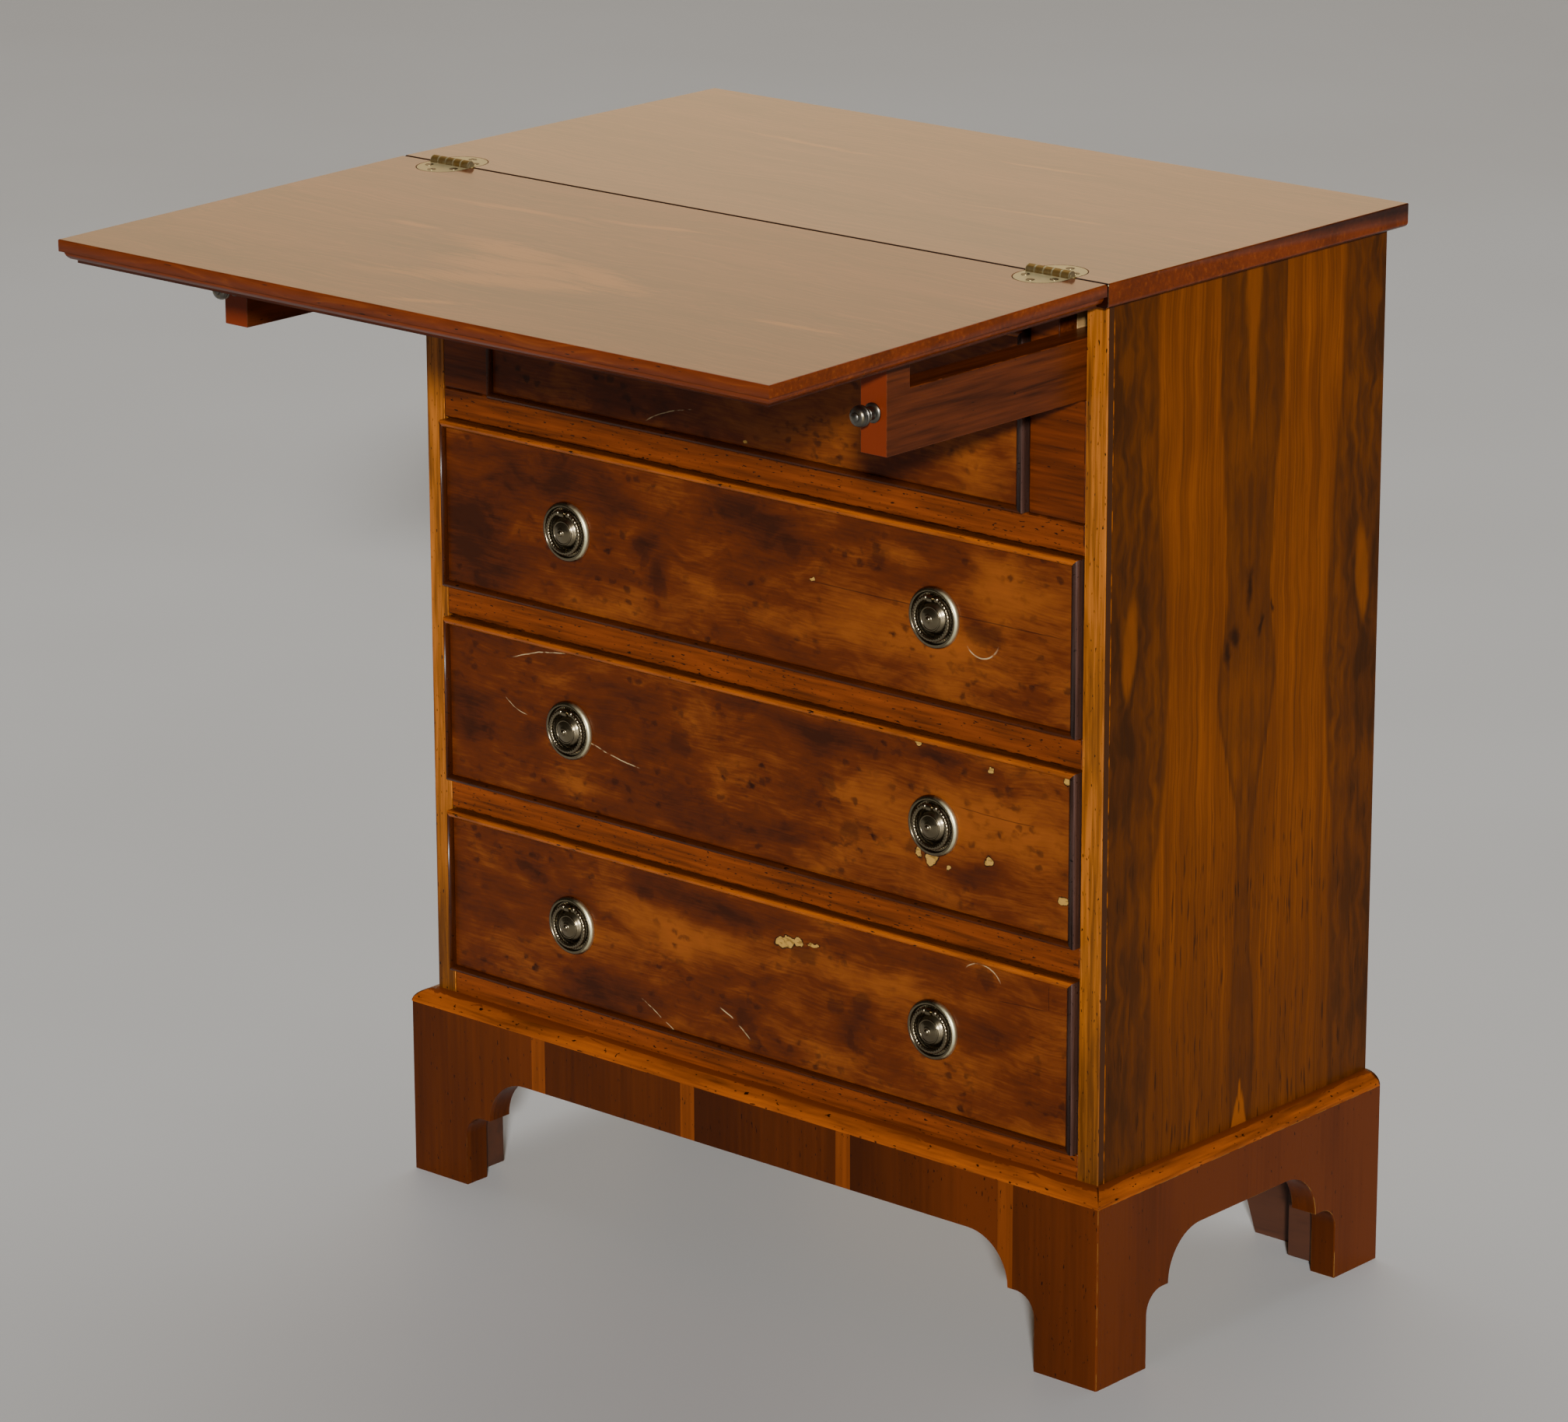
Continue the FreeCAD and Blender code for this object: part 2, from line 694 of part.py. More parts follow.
def pull_ring(centre):
    """Ring with ball ends, closed by the straight pin that turns in the lug."""
    middle = centre - V(0, ring_height, 0)
    section = Part.Face(Part.Wire(Part.Circle(middle + V(0, 0, ring_radius), V(1, 0, 0), ring_wire).toShape()))
    hoop = section.revolve(middle, V(0, 1, 0), 360 - 2 * ring_gap_deg)
    hoop.rotate(middle, V(0, 1, 0), ring_gap_deg)
    half_pin = ring_radius * math.sin(math.radians(ring_gap_deg))
    pin_start = middle + V(-half_pin, 0, ring_pivot_rise)
    pin = rod(pin_start, V(1, 0, 0), ring_pin, half_pin + half_pin)
    pin_end = pin_start + V(half_pin + half_pin, 0, 0)
    balls = [Part.makeSphere(ring_ball, pin_start), Part.makeSphere(ring_ball, pin_end)]
    return hoop.fuse(balls + [pin]).removeSplitter()


def carcass_pieces():
    """Fixed boards of the carcass, by node name."""
    side, lipping = carcass_side(), front_lipping()
    surround, guide = loper_surround(), loper_guide()
    rows = range(1, drawer_count + 1)
    runners = [drawer_runner(row) for row in rows[:-1]]
    stops = [drawer_stop(row) for row in rows]
    return {
        "carcass_side_left": mirrored(side),
        "carcass_side_right": side,
        "front_lippings": group([mirrored(lipping), lipping]),
        "back_panel": back_panel(),
        "carcass_bottom": carcass_bottom(),
        "bottom_rail": bottom_rail(),
        "drawer_rails": group([drawer_rail(row) for row in rows[:-1]]),
        "top_rails": group([top_rail(front_y), top_rail(inner_rear_y - rail_depth)]),
        "loper_surrounds": group([mirrored(surround), surround]),
        "loper_guides": group([mirrored(guide), guide]),
        "drawer_runners": group([mirrored(piece) for piece in runners] + runners),
        "drawer_stops": group([mirrored(piece) for piece in stops] + stops),
    }


def plinth_pieces():
    """Boards, moulding and hidden blocks of the plinth, by node name."""
    side, strip, bracket = plinth_side(), side_moulding(), rear_foot_bracket()
    blocks = [corner_block(plinth_front_y + plinth_thickness),
              corner_block(rear_y - rear_bracket_thickness - corner_block_width)]
    return {
        "plinth_front": plinth_front(),
        "plinth_side_left": mirrored(side),
        "plinth_side_right": side,
        "plinth_moulding": group([mirrored(strip), front_moulding(), strip]),
        "rear_foot_brackets": group([mirrored(bracket), bracket]),
        "plinth_corner_blocks": group([mirrored(block) for block in blocks] + blocks),
    }


def top_pieces():
    """Fixed top, leaf and hinges, by node name."""
    fixed_plate, leaf_plate, pin = hinge_plate(1, 0), drooped(hinge_plate(-1, 1)), hinge_pin()
    return {
        "top_fixed": top_fixed(),
        "top_leaf": top_leaf(),
        "hinge_plates_fixed": group([mirrored(fixed_plate), fixed_plate]),
        "hinge_plates_leaf": group([mirrored(leaf_plate), leaf_plate]),
        "hinge_pins": group([mirrored(pin), pin]),
    }


def loper_pieces():
    """Lopers and their knobs, by node name."""
    return {
        "loper_left": mirrored(loper(loper_left_out)),
        "loper_right": loper(loper_right_out),
        "loper_knob_left": loper_knob(-1, loper_left_out),
        "loper_knob_right": loper_knob(1, loper_right_out),
    }


def drawer_pieces(row):
    """One drawer with its pulls, by node name."""
    name = "drawer_%d_" % row
    left, right = pull_centre(row, -1), pull_centre(row, 1)
    return {
        name + "front": drawer_front(row),
        name + "cockbead": drawer_cockbead(row),
        name + "sides": drawer_sides(row),
        name + "back": drawer_back(row),
        name + "bottom": drawer_bottom(row),
        name + "pull_plates": group([pull_plate(left), pull_plate(right)]),
        name + "ring_left": pull_ring(left),
        name + "ring_right": pull_ring(right),
    }


def build():
    """Write one STEP file for each node."""
    os.makedirs("parts", exist_ok=True)
    pieces = carcass_pieces()
    pieces.update(plinth_pieces())
    pieces.update(top_pieces())
    pieces.update(loper_pieces())
    for row in range(1, drawer_count + 1):
        pieces.update(drawer_pieces(row))
    for name, shape in pieces.items():
        if not shape.isValid():
            raise ValueError(name + " is not a valid shape")
        shape.exportStep("parts/" + name + ".step")


build()
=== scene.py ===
import json
import math

import bmesh
import bpy
from bpy.props import FloatProperty, FloatVectorProperty, IntProperty, PointerProperty
from mathutils import Matrix, Quaternion, Vector

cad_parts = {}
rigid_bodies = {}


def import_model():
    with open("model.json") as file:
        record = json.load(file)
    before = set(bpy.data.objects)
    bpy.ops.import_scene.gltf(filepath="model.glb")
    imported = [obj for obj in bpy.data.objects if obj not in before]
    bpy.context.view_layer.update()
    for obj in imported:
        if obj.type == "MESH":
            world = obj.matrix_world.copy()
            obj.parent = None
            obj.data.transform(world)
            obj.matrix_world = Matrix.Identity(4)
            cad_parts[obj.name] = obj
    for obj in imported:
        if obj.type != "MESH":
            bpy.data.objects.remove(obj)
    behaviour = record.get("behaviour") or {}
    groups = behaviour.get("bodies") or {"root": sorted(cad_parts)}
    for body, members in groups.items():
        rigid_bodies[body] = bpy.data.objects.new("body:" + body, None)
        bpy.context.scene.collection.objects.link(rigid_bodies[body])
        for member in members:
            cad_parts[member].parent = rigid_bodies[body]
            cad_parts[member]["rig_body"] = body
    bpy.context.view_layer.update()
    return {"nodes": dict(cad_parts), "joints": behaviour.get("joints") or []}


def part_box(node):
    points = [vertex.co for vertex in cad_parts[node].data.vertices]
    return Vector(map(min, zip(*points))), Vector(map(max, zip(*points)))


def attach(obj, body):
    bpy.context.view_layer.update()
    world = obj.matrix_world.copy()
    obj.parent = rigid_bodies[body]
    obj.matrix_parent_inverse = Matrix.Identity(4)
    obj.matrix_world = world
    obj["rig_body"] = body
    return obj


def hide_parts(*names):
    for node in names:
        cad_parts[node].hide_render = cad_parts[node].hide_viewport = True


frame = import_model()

bl_info = {
    "name": "Bachelor's chest finishes",
    "version": (1, 0, 0),
    "blender": (4, 5, 0),
    "location": "View3D > Sidebar > Chest",
    "description": "Veneers, polishes and fits out a small chest of drawers with a fold-over top",
    "category": "Object",
}

MM = 0.001
ROWS = (1, 2, 3, 4)
SIDES = ("left", "right")
FRONT = Vector((0, -1, 0))

# Angles past which two faces meet in a sharp edge: one to soften, and one to shade as a crease
ARRIS_ANGLE = math.radians(35)
BOARD_CREASE = math.radians(50)
CAST_CREASE = math.radians(38)
GROWN_CREASE = math.radians(35)

# Places read from the frame, in metres
TOP_LOW, TOP_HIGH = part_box("top_fixed")
SIDE_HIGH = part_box("carcass_side_right")[1]
PLINTH_LOW, PLINTH_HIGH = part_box("plinth_front")
BACK_LOW, BACK_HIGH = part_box("back_panel")
JOINTS = {joint["name"]: joint for joint in frame["joints"]}
HINGE_AXIS = Vector(JOINTS["leaf_fold"]["pos_m"])
LEAF_DROOP = math.radians(JOINTS["leaf_fold"]["range_deg"][1] - 180)

# Length of a hinge's barrel and middle of the right one, in metres
BARREL = 35 * MM
HINGE_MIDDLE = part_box("hinge_pins")[1].x - BARREL / 2

# Front of the drawers' fields, in millimetres
FIELD_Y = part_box("drawer_1_front")[0].y / MM


def drawer_floor(row):
    """Lowest edge of a drawer front, in millimetres."""
    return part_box("drawer_%d_front" % row)[0].z / MM


def linear(code):
    """Turns an sRGB hex colour into linear red, green, blue and alpha."""
    levels = [int(code[i:i + 2], 16) / 255 for i in (1, 3, 5)]
    return [c / 12.92 if c <= 0.04045 else ((c + 0.055) / 1.055) ** 2.4 for c in levels] + [1.0]


def toned(tone, level):
    """Darker or lighter tone of a linear colour."""
    return [channel * level for channel in tone[:3]] + [1.0]


def colour(name, description, code):
    """Colour that a user may change."""
    return FloatVectorProperty(name=name, description=description, default=linear(code),
                               size=4, min=0, max=1, subtype="COLOR")


def length(name, description, size):
    """Length that a user may change, given in millimetres."""
    return FloatProperty(name=name, description=description, default=size * MM, min=0,
                         precision=5, subtype="DISTANCE", unit="LENGTH")


class ChestSizes(bpy.types.PropertyGroup):
    """Sizes of the fine work on the chest"""

    arris: length("Arris", "Rounding of the polished boards' edges", 0.6)
    joint_round: length("Joint rounding", "Rounding of the top's edges along the hinge line", 1.2)
    rough_arris: length("Rough arris", "Rounding of the bare inner boards' edges", 0.4)
    rope_depth: length("Rope depth", "Depth of the rope carving on the ring pulls", 0.28)
    rope_twists: IntProperty(name="Rope twists", description="Twists round one ring pull", default=34, min=0)
    flutes: IntProperty(name="Flutes", description="Flutes round one pull plate", default=44, min=3)
    flute_length: length("Flute length", "Length of one flute on a pull plate", 2.6)
    flute_width: length("Flute width", "Width of one flute on a pull plate", 1.7)
    flute_height: length("Flute height", "Height of one flute above the dish", 0.8)
    nut_width: length("Nut width", "Width across the flats of the pulls' square nuts", 8.0)
    nut_height: length("Nut height", "Thickness of the pulls' square nuts", 3.2)
    washer: length("Washer", "Radius of the washers under the nuts", 6.0)
    # The plate edge is painted shade: a dark line round each plate for the shadow of its recess
    plate_edge: length("Plate edge", "Width of the tarnished edge round the hinge plates", 0.8)
    screw_head: length("Screw head", "Radius of the hinge screws' heads", 2.9)
    screw_slot: length("Screw slot", "Width of the slot in the hinge screws", 0.9)
    nail_head: length("Nail head", "Radius of the nail heads round the back panel", 1.8)
    nail_spacing: length("Nail spacing", "Distance between the nails of the back panel", 82.0)


class ChestColours(bpy.types.PropertyGroup):
    """Colours of the woods and metals of the chest"""

    burr_dark: colour("Burr, dark", "Dark clouds of the drawer fronts", "#341506")
    burr_ground: colour("Burr, ground", "Middle tone of the drawer fronts", "#582509")
    burr_light: colour("Burr, light", "Light clouds of the drawer fronts", "#7E4113")
    side_dark: colour("Side, dark", "Dark heartwood of the sides", "#402005")
    side_ground: colour("Side, ground", "Middle tone of the sides", "#673305")
    side_light: colour("Side, light", "Light flames of the sides", "#924C08")
    top_ground: colour("Top, ground", "Middle tone of the top", "#6A2B08")
    top_sap: colour("Top, sapwood", "Light flames of the top", "#B4661A")
    rail: colour("Rails", "Middle tone of the rails", "#6E3106")
    surround: colour("Loper surrounds", "Middle tone of the blocks round the lopers", "#5C2604")
    end_grain: colour("End grain", "Cut ends of the lopers", "#70290B")
    lipping: colour("Lipping", "Middle tone of the front edges of the sides", "#98571A")
    plinth: colour("Plinth", "Middle tone of the plinth", "#491F05")
    stripe: colour("Plinth stripe", "Light upright stripes of the plinth", "#783A0D")
    moulding: colour("Moulding", "Middle tone of the plinth moulding", "#8A430C")
    # Painted light and shade: one bead wood, drawn lit on the upper beads and shaded on the side and lower
    # beads
    bead_light: colour("Bead, light", "Rubbed upper beads of the drawers", "#A3520C")
    bead_dark: colour("Bead, dark", "Stained side beads of the drawers", "#523A32")
    loper: colour("Loper", "Middle tone of the lopers", "#54250B")
    pine: colour("Pine", "Bare wood inside", "#B98F57")
    stained_pine: colour("Stained pine", "Stained wood under the plinth", "#44210A")
    chip: colour("Chip", "Wood bared where the veneer has chipped", "#B48A42")
    scratch: colour("Scratch", "Pale wood along scratches and knocked edges", "#C6AE80")
    # Soot: real dirt in dents, joints and specks, and also painted shade on the beads' set-back flanks and
    # round the hinge plates
    soot: colour("Soot", "Dirt in dents and corners", "#180903")
    patina: colour("Patina", "Dark skin of the brass pulls", "#7C7058")
    # Bright brass: brass bared by rubbing, and the painted highlight on the right of the pulls' shoulders
    rubbed_brass: colour("Rubbed brass", "Bright brass of the pulls' rims", "#D8CFA6")
    hinge_brass: colour("Hinge brass", "Polished brass of the hinge plates", "#E2D5A6")
    hinge_tarnish: colour("Hinge tarnish", "Tarnish on the hinge knuckles", "#90703A")
    white_metal: colour("White metal", "Turned metal of the loper knobs", "#66625A")


class ChestStage(bpy.types.PropertyGroup):
    """Floor, light and camera"""

    floor: colour("Floor", "Colour of the floor", "#D0D0CE")
    wall: colour("Wall glow", "Colour of the pale glow behind the chest, which the top mirrors", "#EFCD9E")
    room: colour("Room glow", "Colour of the dim light from the room before the chest", "#35322E")
    key_power: FloatProperty(name="Key strength", default=4.3, min=0,
                             description="Even light from beside the camera, in watts a square metre")
    fill_power: FloatProperty(name="Fill power", description="Wide light overhead", default=70, min=0,
                              subtype="POWER", unit="POWER")
    lens: FloatProperty(name="Lens", description="Focal length of the camera in millimetres",
                        default=139.67, min=1)


def add(tree, kind, inputs=None, stops=(), **settings):
    """Adds one node: inputs holds values and feeding sockets, stops the colours of a ramp."""
    made = tree.nodes.new(kind)
    for key, value in settings.items():
        setattr(made, key, value)
    for key, value in (inputs or {}).items():
        if isinstance(value, bpy.types.NodeSocket):
            tree.links.new(value, made.inputs[key])
        else:
            made.inputs[key].default_value = value
    for index, (place, tone) in enumerate(stops):
        elements = made.color_ramp.elements
        element = elements[index] if index < 2 else elements.new(place)
        element.position = place
        element.color = tone
    return made


def surface(name, constants=None):
    """New material with one Principled shader; constants are set on the shader's own sockets."""
    made = bpy.data.materials.new(name)
    made.use_nodes = True
    tree = made.node_tree
    tree.nodes.clear()
    shader = add(tree, "ShaderNodeBsdfPrincipled", constants)
    add(tree, "ShaderNodeOutputMaterial", {"Surface": shader.outputs[0]})
    return made, tree, shader


def millimetres(tree, shift=(0, 0, 0)):
    """Object coordinates in millimetres, moved by shift."""
    coordinates = add(tree, "ShaderNodeTexCoord").outputs["Object"]
    return add(tree, "ShaderNodeMapping", {"Vector": coordinates, "Location": shift,
                                           "Scale": (1 / MM,) * 3}).outputs[0]


def grain(tree, place, sizes, seed=0.0, detail=3.0, roughness=0.5):
    """Noise from 0 to 1 whose features measure sizes on the three axes; seed picks other wood."""
    scaled = add(tree, "ShaderNodeMapping", {"Vector": place, "Location": (seed, seed, seed),
                                             "Scale": [1 / size for size in sizes]})
    return add(tree, "ShaderNodeTexNoise", {"Vector": scaled.outputs[0], "Scale": 1.0, "Detail": detail,
                                            "Roughness": roughness}).outputs[0]


def swirled(tree, place, size, reach, seed=0.0, detail=2.0):
    """Coordinates pushed about by up to half of reach, in eddies of a given size."""
    scaled = add(tree, "ShaderNodeMapping", {"Vector": place, "Location": (seed, seed, seed),
                                             "Scale": (1 / size,) * 3})
    eddy = add(tree, "ShaderNodeTexNoise", {"Vector": scaled.outputs[0], "Scale": 1.0, "Detail": detail})
    centred = add(tree, "ShaderNodeVectorMath", {0: eddy.outputs[1], 1: (0.5, 0.5, 0.5)},
                  operation="SUBTRACT")
    return add(tree, "ShaderNodeVectorMath", {0: centred.outputs[0], 1: (reach, reach, reach), 2: place},
               operation="MULTIPLY_ADD").outputs[0]


def summed(tree, *terms):
    """Sum of products: each term is a socket and its weight, which may be a socket too."""
    total = 0.0
    for socket, weight in terms:
        sofar = add(tree, "ShaderNodeMath", {0: socket, 1: weight, 2: total}, operation="MULTIPLY_ADD")
        total = sofar.outputs[0]
    return total


def stepped(tree, value, low, high):
    """Smooth step from 0 below low to 1 above high."""
    return add(tree, "ShaderNodeMapRange", {"Value": value, "From Min": low, "From Max": high},
               interpolation_type="SMOOTHSTEP").outputs[0]


def mixed(tree, factor, under, over, strength=None):
    """Colour over laid on colour under by a factor, which a strength may weaken."""
    if strength is not None:
        factor = summed(tree, (factor, strength))
    return add(tree, "ShaderNodeMix", {0: factor, 6: under, 7: over}, data_type="RGBA").outputs[2]


def marks(tree, place, face, rows):
    """Soft spots on a face, 1 at their centres: each row is two places, two half sizes and a turn."""
    # So long on the third axis that a spot goes right through its board
    far = 1e5
    total = 0.0
    for u, v, half_u, half_v, turn in rows:
        angle = math.radians(turn)
        if face == "xz":
            spot = {"Location": (u, 0, v), "Scale": (half_u, far, half_v), "Rotation": (0, -angle, 0)}
        elif face == "yz":
            spot = {"Location": (0, u, v), "Scale": (far, half_u, half_v), "Rotation": (angle, 0, 0)}
        else:
            spot = {"Location": (u, v, 0), "Scale": (half_u, half_v, far), "Rotation": (0, 0, angle)}
        spot["Vector"] = place
        local = add(tree, "ShaderNodeMapping", spot, vector_type="TEXTURE")
        ball = add(tree, "ShaderNodeTexGradient", {"Vector": local.outputs[0]}, gradient_type="SPHERICAL")
        total = add(tree, "ShaderNodeMath", {0: ball.outputs[1], 1: total}, operation="MAXIMUM").outputs[0]
    return total


def scratched(tree, place, rows):
    """Thin curved scratches, 1 along each: rows are a start, a point on the way, an end and a width."""
    total = 0.0
    for start, way, end, width in rows:
        (ax, az), (bx, bz), (cx, cz) = start, way, end
        # Centre of the circle through the three points
        area = 2 * (ax * (bz - cz) + bx * (cz - az) + cx * (az - bz))
        squares = [u * u + v * v for u, v in (start, way, end)]
        centre_x = (squares[0] * (bz - cz) + squares[1] * (cz - az) + squares[2] * (az - bz)) / area
        centre_z = (squares[0] * (cx - bx) + squares[1] * (ax - cx) + squares[2] * (bx - ax)) / area
        radius = math.hypot(ax - centre_x, az - centre_z)
        half = math.hypot(cx - ax, cz - az) / 2
        from_centre, from_middle = [
            add(tree, "ShaderNodeVectorMath", {0: place, 1: (x, FIELD_Y, z)},
                operation="DISTANCE").outputs["Value"]
            for x, z in ((centre_x, centre_z), ((ax + cx) / 2, (az + cz) / 2))]
        off = add(tree, "ShaderNodeMath", {0: from_centre, 1: radius}, operation="SUBTRACT").outputs[0]
        off = add(tree, "ShaderNodeMath", {0: off}, operation="ABSOLUTE").outputs[0]
        line = summed(tree, (stepped(tree, off, width * 0.8, width * 0.2),
                             stepped(tree, from_middle, half, half * 0.75)))
        total = add(tree, "ShaderNodeMath", {0: line, 1: total}, operation="MAXIMUM").outputs[0]
    return total


def widths(tree, height, rows):
    """Width in millimetres that changes smoothly with height: rows of height and width."""
    low, high = rows[0][0], rows[-1][0]
    most = max(width for level, width in rows)
    share = add(tree, "ShaderNodeMapRange", {"Value": height, "From Min": low, "From Max": high}).outputs[0]
    stops = [((level - low) / (high - low), (width / most,) * 3 + (1,)) for level, width in rows]
    curve = add(tree, "ShaderNodeValToRGB", {"Fac": share}, stops)
    curve.color_ramp.interpolation = "CARDINAL"
    return summed(tree, (curve.outputs[0], most))


def polish(tree, shader, tone, height, depth, rough_low, rough_high):
    """Links colour, sheen that follows the height, and a fine bump of depth millimetres."""
    sheen = add(tree, "ShaderNodeMapRange", {"Value": height, "To Min": rough_high, "To Max": rough_low})
    bump = add(tree, "ShaderNodeBump", {"Strength": 1.0, "Distance": depth * MM, "Height": height})
    tree.links.new(tone, shader.inputs["Base Color"])
    tree.links.new(sheen.outputs[0], shader.inputs["Roughness"])
    tree.links.new(bump.outputs[0], shader.inputs["Normal"])


def arris_wear_and_shade(tree, place, tone, bare, low=0.4, high=0.6):
    """Lays a tone along the softened edges: bare wood where rubbing has broken the polish, and painted shade
    where the tone given is dark.
    """
    edge = add(tree, "ShaderNodeAttribute", attribute_name="arris").outputs["Fac"]
    patches = stepped(tree, grain(tree, place, (9, 9, 9), 3.1), low, high)
    return mixed(tree, edge, tone, bare, patches)


def flecked(tree, place, tone, sizes, soot, amount=0.66):
    """Adds small dark dents and specks of dirt."""
    specks = stepped(tree, grain(tree, place, sizes, 7.7, 1.0), amount, amount + 0.06)
    return mixed(tree, specks, tone, soot)


# Where each drawer front shows darker and lighter clouds and dark bruises, and where it is chipped, joined
# and scratched, in millimetres from the middle of the front and from its lower edge. Seams and scratches are
# rows of start, point on the way, end and width, and the others rows of place, half sizes and turn.
DARK_CLOUDS = {
    1: [(-150, 70, 110, 40, 0), (20, 90, 90, 30, 0), (170, 60, 40, 20, 20)],
    2: [(-245, 45, 60, 50, 0), (-180, 92, 110, 30, -5), (-96, 62, 18, 14, 30), (-79, 40, 14, 22, 10),
        (38, 15, 36, 15, -10), (175, 100, 50, 16, -8), (0, 98, 90, 18, -6)],
    3: [(-258, 40, 30, 40, 0), (-67, 64, 55, 24, -15), (-51, 28, 60, 18, -10), (26, 24, 48, 17, 0),
        (165, 110, 26, 5, 0), (195, 34, 46, 14, 12), (60, 104, 90, 10, -4)],
    4: [(-209, 94, 26, 12, 0), (-95, 101, 26, 9, 10), (-141, 16, 74, 24, -6), (-30, 106, 130, 12, -4),
        (255, 22, 50, 24, 0), (90, 40, 30, 18, 40), (215, 70, 60, 26, 0)],
}
LIGHT_CLOUDS = {
    1: [(90, 30, 60, 24, 0), (190, 25, 40, 20, 0)],
    2: [(101, 91, 30, 14, 10), (134, 94, 24, 12, -10), (150, 42, 110, 24, -6), (-110, 64, 24, 16, 40),
        (235, 84, 52, 22, 0)],
    3: [(210, 72, 74, 40, 0), (-180, 96, 60, 16, -4), (120, 62, 60, 28, -8), (-150, 20, 46, 15, -6)],
    4: [(-68, 73, 84, 28, -8), (157, 28, 50, 18, 0), (60, 80, 74, 22, -6), (-150, 60, 60, 20, -6)],
}
CHIPS = {
    1: [(-1, 8, 2, 1.4, 0)],
    2: [(58, 66, 2.4, 1.5, 0)],
    3: [(150, 113, 3.2, 2.8, 0), (211, 107, 3, 3, 0), (275, 113, 4.4, 4.4, 0), (161, 36, 7, 5.5, 30),
        (150, 38, 2.8, 4.4, 20), (176, 33, 2.4, 2, 0), (210, 44, 4.6, 4, 0), (272, 31, 4.6, 3.8, 0)],
    4: [(33, 91, 12, 5, 12), (45, 94, 5, 4, 0), (58, 94, 7, 1.8, 4)],
}
BRUISES = {
    1: [(-40, 60, 20, 10, 0)],
    2: [(-96, 62, 9, 8, 30), (-79, 40, 8, 18, 20), (-92, 52, 6, 10, -30), (116, 91, 12, 9, 30),
        (205, 55, 22, 10, 0), (40, 84, 10, 14, 40)],
    3: [(162, 108, 14, 4, -10), (90, 40, 14, 8, 10), (70, 70, 10, 8, 0), (150, 40, 16, 8, 0),
        (-60, 70, 14, 12, 0)],
    4: [(-209, 94, 12, 6, 0), (-95, 98, 9, 7, 10), (4, 16, 7, 16, 20), (-6, 28, 10, 7, 0),
        (208, 105, 12, 8, -40), (50, 86, 16, 8, 0), (92, 34, 5, 13, 20), (78, 56, 10, 8, 0),
        (100, 62, 14, 9, 30)],
}
SEAMS = {
    2: [((40, 64.6), (160, 64), (281, 64.4), 0.7)],
    3: [((181, 76.2), (215, 75.6), (250, 76), 0.6)],
    4: [((261, 112), (260.6, 103), (261, 94), 0.6), ((261, 94), (238, 93), (217, 91.4), 0.6)],
}
SCRATCHES = {
    1: [((-91, 7), (-72, 16), (-46, 22), 0.6)],
    2: [((188, 49), (202, 39), (217, 50), 0.9)],
    3: [((-220, 101), (-180, 112), (-121, 114), 0.6), ((-148, 55), (-124, 49), (-98, 45), 0.7),
        ((-225, 72), (-216, 66), (-204, 62), 0.5)],
    4: [((-27, 31), (-11, 23), (2, 13), 0.8), ((-100, 21), (-85, 13), (-67, 3), 0.6),
        ((190, 108), (204, 114), (221, 103), 0.7)],
}


